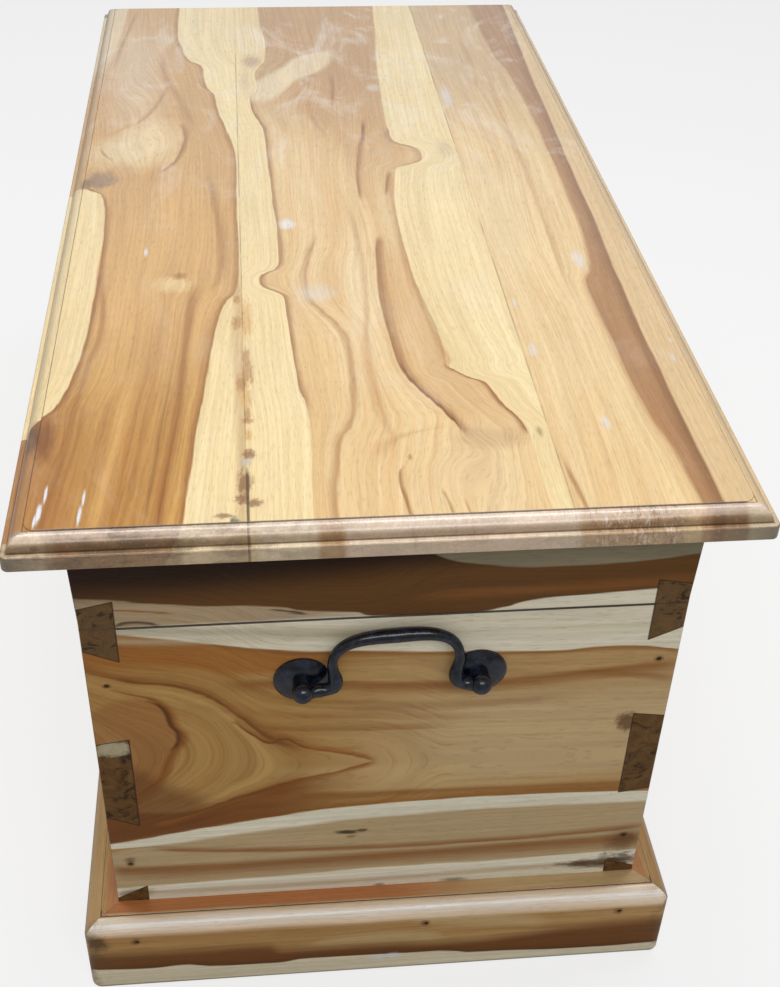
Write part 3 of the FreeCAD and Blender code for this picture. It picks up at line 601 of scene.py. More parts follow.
# the lower board: pale strip over the glue line, brown lines, a pale foot
near_end.area(near_end.sap, below=GLUE_TOP, above=((214, 144), (164, 146), (114, 150), (64, 158), (-36, 166), (-136, 166),
                                                  (-214, 163)), feather=1.0)
near_end.area(srgb(198, 172, 130), below=((214, 140), (164, 148), (64, 160), (-36, 167), (-214, 165)), feather=2.4)
near_end.streak(CHESTNUT, ((176, 140), (154, 138), (114, 134), (64, 130), (39, 128.5), (-61, 128), (-161, 131),
                           (-214, 134)), 3.5, 7, share=0.8, soft=14)
near_end.streak(srgb(150, 96, 46), ((214, 120), (100, 116), (0, 118), (-100, 120), (-214, 122)), 18, 7, share=0.85)
near_end.area(near_end.sap, below=((214, 95), (189, 95.5), (139, 97), (64, 99), (-11, 102), (-111, 103), (-214, 105.5)),
              feather=1.2)
near_end.streak(srgb(176, 140, 100), ((214, 88), (60, 86), (-100, 90), (-214, 92)), 6, 5, share=0.5)
near_end.spot(SOOT_AND_SHADE, (27, 149), (9, 2.4), soft=0.5, share=0.85)
near_end.spot(UMBER, (15, 150.5), (4, 1.6), soft=0.5, share=0.8)
near_end.spot(UMBER, (24, 143), (4, 1.6), soft=0.6, share=0.5)
for at, size in (((-168, 90), (9, 3.5)), ((-192, 88), (8, 6)), ((-62, 80), (9, 2.2)), ((0, 79), (4, 1.6)),
                 ((199, 88), (13, 5)), ((200, 130), (4, 3)), ((-200, 118), (12, 12))):
    near_end.spot(UMBER, at, size, soft=0.7, share=0.6)
near_end.spot(srgb(74, 50, 26), (-178, 90), (28, 5), soft=0.5, share=0.75, ragged=3.0)
near_end.spot(srgb(74, 50, 26), (-198, 93), (15, 9), soft=0.5, share=0.75, ragged=3.0)
near_end.spot(UMBER, (-186, 261), (9, 9), soft=0.4, share=0.8)
near_end.spot(srgb(150, 140, 110), (202, 262), (13, 8), soft=0.4, share=0.3)
corner_nails_set(near_end)
# painted shade: the joint line at the parting is painted near black over the eased edges that catch the light, with a
# darker touch at its left end
near_end.seam(PARTING, 1.3, 0.97, upright_only=True)
near_end.streak(SOOT_AND_SHADE, ((189, 384.5), (178, 387), (160, 384)), 2.6, 2.0, share=0.8, soft=4)
joint_dirt(near_end)
near_end_teak = near_end.varnish(end_share=0.7, coat=0.1, specular=0.12)

far_end = TeakBoard("far_end_teak", "y", "z", seed=0.87)
far_end.arches(((214, 244), (80, 250), (-60, 262), (-150, 258), (-214, 256)),
               ((214, 118), (60, 104), (-40, 90), (-120, 66), (-214, 40)), fade=(214, 140))
far_end.grow(srgb(204, 164, 104), srgb(178, 130, 70), CHESTNUT, 0.2, IVORY, srgb(222, 210, 176))
far_end.area(srgb(130, 86, 46), above=((214, 398), (90, 404), (-40, 410), (-214, 402)), feather=2, share=0.85)
far_end.area(far_end.sap, below=((214, 366), (80, 360), (-60, 366), (-214, 360)),
             above=((214, 338), (60, 332), (-90, 344), (-214, 338)), feather=1.2)
far_end.area(far_end.sap, below=((214, 182), (40, 176), (-120, 168), (-214, 172)),
             above=((214, 158), (40, 150), (-120, 146), (-214, 150)), feather=1.5)
far_end.streak(srgb(150, 96, 46), ((214, 112), (60, 108), (-90, 116), (-214, 110)), 14, 8, share=0.8)
far_end.spot(UMBER, (-96, 262), (9, 6), soft=0.5, share=0.8)
corner_nails_set(far_end)
# painted shade: the joint line at the parting is painted near black over the eased edges that catch the light
far_end.seam(PARTING, 1.3, 0.97, upright_only=True)
joint_dirt(far_end)
far_end_teak = far_end.varnish(end_share=0.7, coat=0.1, specular=0.12)

for part in ("end_{}_lower", "end_{}_upper", "lid_rail_{}"):
    dress(part.format("left"), near_end_teak)
    dress(part.format("right"), far_end_teak)


# ---------------------------------------------------------------- front and back walls
# Each wall is two teak boards glued edge to edge, with its lid rail sawn off the top. The pins cut on
# its ends pass between the tails, and show there as dark end grain.
def long_wall(name, seed, middle, depth, fade, sap_top, sap_low, flame):
    wall = TeakBoard(name, "x", "z", seed=seed).arches(middle, depth, fade)
    wall.grow(srgb(208, 166, 106), srgb(180, 130, 70), CHESTNUT, 0.2, srgb(234, 212, 166), srgb(212, 184, 134))
    wall.area(wall.sap, above=sap_top, feather=1.2)
    wall.streak(CHESTNUT, sap_top, 7, 1.0, share=0.7)
    wall.area(wall.sap, below=sap_low, above=[(along, level - 24) for along, level in sap_low], feather=1.5)
    for points in flame:
        wall.streak(CHESTNUT, points, 3, 8, share=0.6, soft=20)
    wall.area(srgb(138, 92, 50), above=((-464, 404), (-200, 412), (120, 400), (464, 410)), feather=2, share=0.85)
    # painted shade: the joint line at the parting is painted near black over the eased edges that catch the light; the
    # glue line at 150 mm is dirt
    wall.seam(PARTING, 1.3, 0.97, upright_only=True).seam(150, 0.5, 0.5)
    # end grain of the pins: rings in section, darker than the face
    section = noise(wall.tree, stretched(wall.tree, wall.position, 1.0, 70.0, 95.0), 1.0, 3.0, 0.6, 1.2)
    wall.paint(wall.end_grain, srgb(92, 62, 28), 0.94)
    wall.paint(calc(wall.tree, "MULTIPLY", wall.end_grain, ramp(wall.tree, section, 0.46, 0.62)), srgb(124, 90, 48), 0.6)
    wall.paint(calc(wall.tree, "MULTIPLY", wall.end_grain, ramp(wall.tree, section, 0.46, 0.34)), srgb(48, 30, 12), 0.8)
    return wall


front_wall = long_wall(
    "front_wall_teak", 0.53, ((-464, 250), (-110, 248), (60, 244), (464, 246)),
    ((-464, 52), (-260, 84), (-110, 100), (60, 98), (220, 78), (464, 46)), (60, -120),
    ((-464, 352), (-300, 344), (-120, 350), (60, 338), (220, 342), (464, 330)),
    ((-464, 168), (-250, 176), (-40, 172), (180, 182), (464, 174)),
    (((-464, 122), (-100, 116), (240, 124), (464, 118)),))
back_wall = long_wall(
    "back_wall_teak", 0.19, ((-464, 244), (-100, 240), (200, 250), (464, 256)),
    ((-464, 60), (-200, 92), (60, 108), (300, 122), (464, 126)), (240, 40),
    ((-464, 340), (-260, 348), (-60, 336), (140, 344), (300, 352), (464, 346)),
    ((-464, 160), (-200, 166), (60, 176), (300, 168), (464, 164)),
    (((-464, 112), (0, 122), (464, 112)),))
# a paler patch of filler on the back wall's middle pin
filler = placed(back_wall.tree, FIGURE_SPOT, Along=back_wall.xyz["y"], Across=back_wall.xyz["z"], Middle_Along=0.202,
                Middle_Across=0.261, Half_Length=0.013, Half_Width=0.008, Soft=0.3, Ragged=1.3)[0]
back_wall.paint(calc(back_wall.tree, "MULTIPLY", filler, back_wall.end_grain), srgb(196, 184, 150), 0.85)
for side, wall in (("front", front_wall), ("back", back_wall)):
    joint_dirt(wall)
    wall_teak = wall.varnish(end_share=0.0, coat=0.1, specular=0.12)
    for name in (f"{side}_lower", f"{side}_upper", f"lid_rail_{side}"):
        dress(name, wall_teak)


# ---------------------------------------------------------------- inside: bottom, cleats, lid battens
# Planed boards without varnish: three lie on cleats screwed round the foot of the walls and are
# nailed to them, and two battens across the underside hold the lid planks flat.
def bare_board(name, grain, across, seed):
    board = TeakBoard(name, grain, across, seed=seed).grow(srgb(202, 168, 120), srgb(174, 130, 82), CHESTNUT, 0.35)
    return board.varnish(end_share=0.5, roughness=0.55, coat=0.0)


bottom_teak = bare_board("bottom_board_teak", "x", "y", 0.42)
batten_teak = bare_board("batten_teak", "y", "x", 0.64)
for name in ("bottom_board_front", "bottom_board_middle", "bottom_board_back", "bottom_cleat_front",
             "bottom_cleat_back"):
    dress(name, bottom_teak)
for name in ("bottom_cleat_left", "bottom_cleat_right", "lid_batten_left", "lid_batten_right"):
    dress(name, batten_teak)


# ---------------------------------------------------------------- plinth
# Four mitred lengths of one moulding, nailed round the foot. The figure wraps over the face, the
# round edge and the flat top, so it is measured as a girth: height up the face, then in over the top.
PLINTH_HALF = {"x": 491.0, "y": 241.0}
ROUND_GIRTH, QUIRK_GIRTH = 63.7, 90.9


def plinth_length(name, grain, outward, seed, light=srgb(208, 170, 112), dark=srgb(184, 140, 82)):
    length = TeakBoard(name, grain, "z", seed=seed)
    inset = calc(length.tree, "SUBTRACT", PLINTH_HALF[outward] * MM,
                 calc(length.tree, "ABSOLUTE", length.xyz[outward]))
    length.lay(calc(length.tree, "ADD", length.xyz["z"], inset))
    return length.grow(light, dark, CHESTNUT, 0.14, srgb(244, 232, 202), srgb(216, 198, 160))


def plinth_edges(length, half):
    # painted shade: a dark line in the quirk; a darker line along the foot
    length.seam(QUIRK_GIRTH, 0.9, 0.75).seam(0.5, 3.0, 0.5)
    corner = ramp(length.tree, calc(length.tree, "ABSOLUTE", length.along), (half - 26) * MM, half * MM)
    grime = ramp(length.tree, noise(length.tree, length.position, 60.0, 4.0, 0.65), 0.40, 0.66)
    length.paint(calc(length.tree, "MULTIPLY", corner, grime), srgb(84, 70, 48), 0.55)
    on_round = ramp(length.tree, length.flat_across, ROUND_GIRTH * MM, (ROUND_GIRTH + 8) * MM)
    return length.varnish(end_share=0.3, roughness=0.34, coat=0.1, coat_roughness=0.24, specular=0.15, coat_more=on_round)


near_plinth = plinth_length("near_plinth_teak", "y", "x", 0.23)
near_plinth.area(srgb(176, 128, 72), above=((241, 60), (60, 58), (-20, 70), (-241, 74)),
                 below=((241, 70), (60, 70), (-241, 74)), start=-30, feather=6, soft=60, share=0.6)
near_plinth.area(srgb(216, 186, 136), above=((60, 40), (20, 37), (-20, 36), (-52, 36)),
                 below=((60, 42), (20, 50), (-20, 50), (-52, 40)), start=-52, end=60, feather=4, soft=12, share=0.6)
near_plinth.area(srgb(214, 186, 140), above=((-30, 60), (-80, 54), (-130, 48)), below=((-30, 74), (-80, 68), (-130, 60)),
                 start=-135, end=-30, feather=5, soft=12, share=0.55)
DARK_TOP = ((241, 46), (191, 44.5), (95, 43), (80, 36), (-9, 35.5), (-50, 32.5), (-109, 36), (-159, 43), (-209, 46),
            (-241, 47))
DARK_FOOT = ((241, 27), (191, 23.5), (165, 24.5), (141, 20.5), (91, 18.5), (60, 21.5), (-9, 20.5), (-59, 19), (-75, 15.5),
             (-109, 14.5), (-209, 12.2), (-241, 14.5))
near_plinth.area(srgb(124, 76, 30), below=DARK_TOP, feather=9.0)
near_plinth.streak(UMBER, DARK_FOOT, 1.0, 9, share=0.6)
near_plinth.area(near_plinth.sap, below=DARK_FOOT, feather=0.9)
# painted highlight: the round edge painted pale, with a near-white line along its crest
near_plinth.area(srgb(252, 228, 198), above=((241, 69), (0, 68), (-241, 66)), below=((241, 90), (-241, 90)), feather=5,
                 share=0.95)
near_plinth.streak(srgb(255, 246, 234), ((241, 80), (-241, 79)), 8, 9, share=0.95)
near_plinth.spot(srgb(92, 58, 26), (231, 60), (9, 8), soft=0.6, share=0.8, ragged=2.0)
near_plinth.area(srgb(190, 112, 60), above=((241, 93), (-241, 93)), start=-60, feather=1, soft=60, share=0.85)
near_plinth.area(srgb(204, 176, 130), above=((241, 93), (-241, 93)), end=-60, feather=1, soft=60, share=0.7)
near_plinth.spot(GLINT_AND_SCUFF, (2, 17), (6, 3.2), soft=0.7, share=0.6)
near_plinth.spot(GLINT_AND_SCUFF, (-11, 18), (6, 3.4), soft=0.7, share=0.6)
for nail_y in (200, -36, -198):
    near_plinth.spot(UMBER, (nail_y, 60), (3.6, 3.6), soft=0.7, share=0.7)
dress("plinth_left", plinth_edges(near_plinth, 241))

far_plinth = plinth_length("far_plinth_teak", "y", "x", 0.91)
far_plinth.area(srgb(130, 82, 42), below=((241, 40), (80, 46), (-60, 38), (-241, 44)), feather=2.5)
far_plinth.area(far_plinth.sap, below=((241, 17), (0, 22), (-241, 15)), feather=1.2)
dress("plinth_right", plinth_edges(far_plinth, 241))

for side, seed, rise in (("front", 0.37, 6), ("back", 0.73, -5)):
    plinth = plinth_length(f"{side}_plinth_teak", "x", "y", seed)
    plinth.area(srgb(134, 86, 44), below=((-491, 44 + rise), (-200, 36), (100, 48 + rise), (491, 40)), feather=2.5)
    plinth.area(plinth.sap, below=((-491, 22), (-120, 15), (200, 21), (491, 13)), feather=1.2)
    plinth.area(srgb(196, 124, 76), above=((-491, 96), (491, 96)), feather=2, share=0.7)
    dress(f"plinth_{side}", plinth_edges(plinth, 491))


# ---------------------------------------------------------------- lid planks
# Three planks edge-glued into the top and moulded all round. Sapwood was left on their edges, so
# cream bands with wandering borders run beside the glue lines, between the golden heartwood.
SEAM_BACK, SEAM_FRONT = 95.0, -115.0
LID_TOP, LID_THICK = 490.0, 22.0
BLOOM_AND_SHEEN = srgb(250, 243, 232)
END_TONES = ((216, 252, srgb(236, 214, 178), 0.55), (137, 222, srgb(120, 88, 58), 0.55),
             (102, 137, srgb(228, 200, 164), 0.50), (50, 89, srgb(246, 226, 198), 0.60),
             (33, 50, srgb(164, 118, 72), 0.60), (-118, 33, srgb(242, 220, 200), 0.60),
             (-186, -118, srgb(176, 136, 104), 0.50), (-229, -204, srgb(118, 78, 40), 0.75),
             (-252, -229, srgb(222, 206, 176), 0.60))


def lid_plank(name, seed, middle, cup=0.3):
    # down the moulded edge the rings close in towards the plank's middle
    plank = TeakBoard(name, "x", "y", seed=seed)
    tree = plank.tree
    drop = calc(tree, "DIVIDE", calc(tree, "SUBTRACT", LID_TOP * MM, plank.xyz["z"]), LID_THICK * MM / cup)
    off = calc(tree, "SUBTRACT", plank.xyz["y"], middle * MM)
    return plank.lay(calc(tree, "ADD", plank.xyz["y"], calc(tree, "MULTIPLY", off, drop)))


def seam_dirt(plank, seam):
    tree = plank.tree
    patchy = ramp(tree, noise(tree, stretched(tree, plank.position, 16.0, 40.0, 40.0), 1.0, 3.0, 0.6), 0.40, 0.60)
    near = placed(tree, FIGURE_STREAK, Across=plank.xyz["y"], Line=seam * MM, Below=0.9 * MM, Above=0.9 * MM)[0]
    plank.paint(calc(tree, "MULTIPLY", near, calc(tree, "MULTIPLY_ADD", patchy, 0.40, 0.10)), UMBER)


def inset_from_edge(plank):
    x, y = (calc(plank.tree, "ABSOLUTE", plank.xyz[axis]) for axis in "xy")
    return calc(plank.tree, "MINIMUM", calc(plank.tree, "SUBTRACT", 0.5, x), calc(plank.tree, "SUBTRACT", 0.25, y))


def lid_wear(plank):
    tree = plank.tree
    # wiping marks over the top, and a whitish bloom that thickens towards the far end: old bloom on the varnish, and
    # painted reflection of the sky
    smears = noise(tree, stretched(tree, plank.position, 9.0, 16.0, 1.0), 1.0, 5.0, 0.62, 1.6)
    far = ramp(tree, plank.xyz["x"], -0.2, 0.5, 0.08, 0.50)
    plank.paint(calc(tree, "MULTIPLY", ramp(tree, smears, 0.50, 0.72), far), BLOOM_AND_SHEEN)
    plank.paint(ramp(tree, plank.xyz["x"], -0.45, 0.5, 0.0, 0.22, smooth=False), BLOOM_AND_SHEEN)
    # the moulded ends are end grain, grimy at the corners; a pale painted highlight on the crest of the roll, and
    # painted shade darkening the roll below it to brown
    height, across = plank.xyz["z"], plank.xyz["y"]
    at_end = ramp(tree, calc(tree, "ABSOLUTE", plank.xyz["x"]), 0.4848, 0.4862)
    crest = calc(tree, "MULTIPLY", at_end, ramp(tree, height, 0.4845, 0.4880))
    under = calc(tree, "MULTIPLY", at_end, calc(tree, "MULTIPLY", ramp(tree, height, 0.4796, 0.4800),
                                                ramp(tree, height, 0.4868, 0.4830)))
    fascia = calc(tree, "MULTIPLY", at_end, ramp(tree, height, 0.4796, 0.4790))
    back_third = ramp(tree, across, 0.06, 0.15)
    patches = noise(tree, stretched(tree, plank.position, 60.0, 34.0, 90.0), 1.0, 4.0, 0.65)
    speckle = noise(tree, stretched(tree, plank.position, 200.0, 330.0, 420.0), 1.0, 2.0, 0.7)
    plank.paint(at_end, srgb(186, 150, 120), 0.35)
    near_end_grain = calc(tree, "MULTIPLY", at_end, ramp(tree, plank.xyz["x"], 0.1, -0.1))
    for start, end, tone, share in END_TONES:
        gate = calc(tree, "MULTIPLY", ramp(tree, across, (start - 3) * MM, (start + 3) * MM),
                    ramp(tree, across, (end + 3) * MM, (end - 3) * MM))
        plank.paint(calc(tree, "MULTIPLY", gate, near_end_grain), tone, share)
    plank.paint(crest, srgb(248, 228, 212), 0.50)
    plank.paint(under, srgb(112, 76, 36), 0.45)
    plank.paint(calc(tree, "MULTIPLY", under, back_third), srgb(92, 60, 28), 0.30)
    plank.paint(fascia, srgb(150, 130, 100), 0.30)
    grimy = calc(tree, "MULTIPLY", ramp(tree, patches, 0.42, 0.62), ramp(tree, across, -0.02, 0.2, 0.15, 0.65))
    plank.paint(calc(tree, "MULTIPLY", at_end, grimy), srgb(96, 74, 46))
    corner = ramp(tree, calc(tree, "ABSOLUTE", across), 0.205, 0.25)
    plank.paint(calc(tree, "MULTIPLY", fascia, corner), srgb(104, 98, 80), 0.75)
    plank.paint(calc(tree, "MULTIPLY", at_end, ramp(tree, speckle, 0.60, 0.68)), srgb(214, 208, 196), 0.14)
    # the plane has torn the brown band of the front plank where it meets the near end: dark torn spots, and pale spots
    # that are painted glints on the torn fibres
    torn = noise(tree, stretched(tree, plank.position, 120.0, 330.0, 160.0), 1.0, 3.0, 0.6, 0.8)
    rough_part = calc(tree, "MULTIPLY", ramp(tree, across, -0.190, -0.180), ramp(tree, across, -0.118, -0.135))
    for low, high, tone in ((0.54, 0.64, srgb(238, 222, 210)), (0.46, 0.36, srgb(120, 80, 44))):
        spots = calc(tree, "MULTIPLY", ramp(tree, torn, low, high), rough_part)
        plank.paint(calc(tree, "MULTIPLY", at_end, spots), tone, 0.5)
    plank.moulding = ramp(tree, inset_from_edge(plank), 0.0158, 0.0138)
    # painted shade: a dark line in the quirk and in the corner under the roll, all round
    inset = inset_from_edge(plank)
    quirk = ramp(tree, calc(tree, "ABSOLUTE", calc(tree, "SUBTRACT", inset, 0.0143)), 0.0007, 0.0002)
    step = ramp(tree, calc(tree, "ABSOLUTE", calc(tree, "SUBTRACT", height, 0.4798)), 0.0009, 0.0002)
    step = calc(tree, "MULTIPLY", step, ramp(tree, inset, 0.0030, 0.0042))
    plank.paint(calc(tree, "MAXIMUM", calc(tree, "MULTIPLY", quirk, ramp(tree, inset, 0.0200, 0.0150)), step), SOOT_AND_SHADE, 0.6)


BLOTS = (((-463, 98), (4.5, 4.5), 2), ((-467, 90), (4, 4.5), 2), ((-446, 96), (13, 4.5), 2), ((-414, 93), (5, 4), 2),
         ((-479, 110), (2.5, 5), 2), ((-375, 93), (3.5, 4), 1), ((-366, 93), (8, 2.2), 1), ((-392, 93), (6, 2.4), 0),
         ((-346, 94), (14, 4), 0), ((-328, 97), (10, 3.5), 1), ((-316, 92), (13, 4), 1), ((-296, 93), (14, 3), 1),
         ((-243, 99), (9, 4), 1), ((-238, 92), (26, 5), 0), ((-207, 99), (7, 2.6), 1))
BLOT_TONES = (srgb(222, 180, 118), srgb(190, 142, 88), srgb(142, 98, 66))


def seam_stain(plank):
    # water has stained the glue line at the near end, and the last of it stands open and black
    for at, size, depth in BLOTS:
        plank.spot(BLOT_TONES[depth], at, size, soft=0.45, share=0.8, ragged=2.4, flat=True)
    plank.spot(srgb(196, 192, 180), (-423, 95), (4, 4), soft=0.5, share=0.7, ragged=2.0, flat=True)
    plank.spot(srgb(96, 96, 84), (-486, 103), (6, 3), soft=0.5, share=0.85, ragged=2.0, flat=True)
    open_joint = ramp(plank.tree, plank.xyz["x"], -0.425, -0.440)
    near = ramp(plank.tree, calc(plank.tree, "ABSOLUTE", calc(plank.tree, "SUBTRACT", plank.xyz["y"], 0.0945)),
                0.0014, 0.0005)
    plank.paint(calc(plank.tree, "MULTIPLY", near, open_joint), srgb(86, 80, 62), 0.85)


back_plank = lid_plank("lid_back_teak", 0.11, 187)
WEDGE = ((-500, 136), (-437, 132), (-387, 128), (-337, 123), (-287, 118.5), (-237, 113), (-207, 106), (-187, 98),
         (-87, 97), (63, 98), (88, 101), (113, 104.5), (138, 108), (163, 113), (188, 116), (213, 118), (233, 124.5),
         (263, 128), (288, 129.5), (313, 144.5), (333, 151), (363, 156), (393, 159.5), (500, 160))
BACK_SAP = ((-375, 262), (-362, 236), (-345, 226), (-312, 219), (-287, 215.5), (-237, 213), (-137, 212), (-87, 211),
            (-37, 214), (-17, 218), (-7, 227), (4, 252))
for at, size in (((100, 182), (52, 22)), ((-182, 150), (18, 9)), ((20, 220), (20, 14)), ((-392, 240), (24, 12))):
    back_plank.swirl(at, size)
back_plank.swirl((230, 196), (90, 30))
back_plank.follow((60, ((-500, 60), (500, 60))), (112, WEDGE),
                  (150, ((-500, 170), (-362, 156), (-187, 146), (-100, 138), (63, 140), (163, 158), (263, 178), (500, 196))),
                  (205, ((-500, 240), (-362, 232), (-287, 215), (-87, 211), (0, 216), (120, 222), (500, 236))),
                  (290, ((-500, 300), (500, 300))))
back_plank.grow(srgb(214, 164, 90), srgb(172, 114, 50), srgb(146, 88, 34), 0.12, flecks=0.2)
back_plank.area(srgb(160, 106, 52), above=((-500, 60), (500, 60)), start=20, soft=190, feather=2, share=0.68)
back_plank.area(srgb(236, 194, 134), above=((-500, 95), (500, 95)), start=-300, feather=2, soft=110, share=0.55)
back_plank.area(srgb(170, 112, 58), above=((-500, 200), (-437, 210), (-387, 218), (-330, 214)),
                below=((-500, 262), (-330, 262)), end=-340, feather=12, soft=30, share=0.6)
back_plank.streak(CHESTNUT, ((-500, 152), (-437, 148), (-362, 142), (-287, 140), (-230, 137), (-187, 133)), 9, 5, share=0.6,
                  soft=20)
back_plank.streak(UMBER, ((-470, 158), (-400, 154), (-330, 148)), 1.5, 2.5, share=0.35, soft=20)
back_plank.streak(CHESTNUT, ((-187, 118), (-137, 112), (-87, 113), (-37, 117), (13, 122)), 8, 5, share=0.5, soft=20)
back_plank.streak(srgb(224, 176, 108), ((-487, 190), (-400, 184), (-300, 178)), 10, 10, share=0.5, soft=30)
back_plank.streak(CHESTNUT, ((-500, 226), (-420, 218), (-345, 214), (-300, 209), (-237, 203), (-187, 206)), 5, 4, share=0.5,
                  soft=20)
back_plank.streak(CHESTNUT, WEDGE, 0.8, 7, share=0.7)
back_plank.streak(srgb(150, 94, 46), ((-375, 250), (-362, 236), (-345, 226), (-312, 219), (-237, 213), (-87, 211),
                                      (-37, 214), (-7, 227), (4, 250)), 6.5, 0.8, start=-372, end=2, share=0.85)
back_plank.area(back_plank.sap, above=BACK_SAP, start=-375, end=4, feather=1.0, soft=2)
back_plank.area(back_plank.sap, below=WEDGE, feather=1.0)
back_plank.area(srgb(196, 160, 112), below=((-500, 101), (-400, 101), (-260, 102), (-190, 100)), end=-186, feather=3,
                soft=8, share=0.55)
# swirls and knots
back_plank.spot(srgb(240, 214, 166), (98, 182), (50, 30), soft=0.55, share=0.85)
back_plank.spot(srgb(238, 214, 168), (76, 212), (30, 26), soft=0.6, share=0.7)
back_plank.spot(srgb(232, 208, 178), (230, 196), (110, 26), soft=0.8, share=0.5)
back_plank.spot(srgb(222, 200, 176), (330, 214), (90, 30), soft=0.8, share=0.5)
back_plank.streak(CHESTNUT, ((28, 170), (38, 163), (58, 154), (86, 148), (113, 146), (138, 150)), 6, 2, share=0.75, soft=10)
back_plank.streak(srgb(212, 160, 92), ((116, 222), (126, 212), (136, 204), (146, 200)), 6, 8, share=0.75, soft=6)
back_plank.streak(CHESTNUT, ((60, 214), (72, 222), (84, 226)), 3, 3, share=0.6, soft=8)
back_plank.streak(CHESTNUT, ((140, 196), (160, 186), (190, 176), (230, 168)), 4, 6, share=0.45, soft=16)
back_plank.streak(CHESTNUT, ((140, 140), (200, 152), (260, 168), (320, 176)), 7, 7, share=0.4, soft=30)
back_plank.spot(srgb(140, 116, 98), (16, 220), (17, 13), soft=0.5, share=0.75)
back_plank.spot(srgb(112, 84, 66), (8, 234), (9, 6), soft=0.6, share=0.7)
back_plank.spot(srgb(200, 146, 80), (20, 172), (16, 9), soft=0.7, share=0.6)
back_plank.spot(srgb(166, 112, 54), (-400, 207), (50, 14), soft=0.8, share=0.45)
back_plank.spot(srgb(128, 80, 46), (-390, 232), (22, 7), soft=0.6, share=0.75)
back_plank.spot(srgb(96, 60, 36), (-386, 243), (17, 7), soft=0.5, share=0.7)
back_plank.spot(srgb(238, 208, 152), (-180, 150), (11, 14), soft=0.6, share=0.85)
back_plank.spot(CHESTNUT, (-167, 145), (5, 5), soft=0.7, share=0.6)
back_plank.area(srgb(236, 216, 180), above=((300, 232), (360, 226), (430, 222), (500, 220)), start=300, feather=2, soft=30,
                share=0.8)
back_plank.streak(CHESTNUT, ((300, 226), (340, 223), (400, 217), (460, 212)), 5, 1.5, share=0.5, soft=20)
# painted glints: thin white streaks where the varnish catches the light
for at, size in (((-470, 226.5), (9, 1.3)), ((-450, 224.5), (8, 1.2)), ((-478, 228.5), (6, 1.0)),
                 ((-474, 201), (9, 1.3)), ((-455, 200), (7, 1.0))):
    back_plank.spot(GLINT_AND_SCUFF, at, size, soft=0.5, share=0.95)
back_plank.spot(GLINT_AND_SCUFF, (-125, 173), (6, 1.7), soft=0.6, share=0.7)
seam_stain(back_plank)
lid_wear(back_plank)
seam_dirt(back_plank, SEAM_BACK)

middle_plank = lid_plank("lid_middle_teak", 0.47, -10, cup=0.05)
BORDER = ((-500, 53), (-437, 51), (-387, 49.5), (-337, 54.5), (-287, 58), (-237, 60.5), (-207, 62), (-199, 66),
          (-190, 76), (-178, 80), (-166, 76), (-157, 66), (-137, 62.5), (-37, 64.5), (13, 65.5), (63, 67), (113, 68.5),
          (138, 72), (158, 76), (200, 80), (238, 72), (262, 74), (290, 70), (320, 62), (348, 61), (420, 65), (500, 66))
LOW_BORDER = ((-500, -103), (-437, -99.5), (-394, -100), (-384, -97), (-364, -88), (-336, -79), (-330, -70), (-314, -56),
              (-305, -58), (-287, -55.5), (-237, -49), (-137, -44), (-37, -45), (13, -50), (30, -53), (37, -66),
              (46, -77), (58, -79), (72, -76), (86, -60), (95, -54), (163, -53.5), (263, -57), (363, -63), (500, -71))
for at, size in (((-180, 70), (18, 9)), ((62, -68), (26, 12)), ((262, 44), (62, 18)), ((-446, -58), (46, 20)),
                 ((-396, -76), (16, 16))):
    middle_plank.swirl(at, size)
middle_plank.follow((-170, ((-500, -180), (500, -180))), (-64, LOW_BORDER),
                    (-22, ((-500, -34), (-437, -44), (-392, -53), (-367, -43), (-337, -28), (-312, -20.5), (-287, -18),
                           (-187, -18), (-110, -22), (13, -15), (63, -19), (128, -28), (300, -34), (500, -38))),
                    (26, ((-500, 36), (-437, 36), (-387, 24), (-352, 17), (-287, 14.5), (-252, 22), (-227, 34.5),
                          (-187, 44.5), (-147, 39.5), (-107, 29.5), (0, 26), (160, 20), (300, 6), (500, 14))),
                    (62, BORDER), (120, ((-500, 120), (500, 120))))
middle_plank.grow(srgb(244, 214, 162), srgb(230, 190, 132), srgb(184, 132, 74), 0.04, flecks=0.12)
middle_plank.area(srgb(166, 116, 66), above=((-500, -180), (500, -180)), start=150, soft=150, feather=2, share=0.62)
middle_plank.area(srgb(196, 148, 96), above=((-100, -60), (500, -90)), below=((-100, -2), (60, -4), (200, 40), (500, 70)),
                  start=0, feather=9, soft=90, share=0.5)
middle_plank.area(srgb(206, 154, 94), below=((-400, -52), (-367, -43), (-337, -28), (-312, -20.5), (-287, -18),
                                             (-187, -18), (-100, -22)),
                  above=((-400, -100), (-334, -78), (-287, -56), (-100, -44)), start=-396, end=-120, feather=4, soft=40,
                  share=0.45)
middle_plank.spot(srgb(248, 224, 180), (-200, 0), (90, 13), soft=0.8, share=0.7)
middle_plank.spot(srgb(214, 176, 128), (-436, -62), (30, 12), soft=0.8, share=0.5)
middle_plank.streak(srgb(176, 120, 64), ((-500, 38), (-460, 38), (-437, 35), (-400, 30), (-387, 24), (-352, 17), (-287, 14.5),
                                         (-252, 21), (-227, 33), (-187, 43), (-147, 38.5), (-107, 30)), 3, 7, share=0.6,
                    soft=20)
middle_plank.streak(srgb(190, 138, 82), ((-400, -6), (-350, 0), (-300, 2), (-230, -4), (-150, -6), (-60, -4)), 4, 6,
                    share=0.45, soft=30)
middle_plank.streak(CHESTNUT, ((-400, -56), (-392, -53), (-367, -43), (-337, -28), (-312, -20.5), (-287, -18), (-237, -16),
                               (-187, -16.5), (-110, -22)), 9, 1.6, share=0.8, soft=8)
middle_plank.streak(UMBER, ((-394, -53), (-367, -43.5), (-337, -28.5), (-312, -21)), 2.0, 1.0, share=0.6, soft=8)
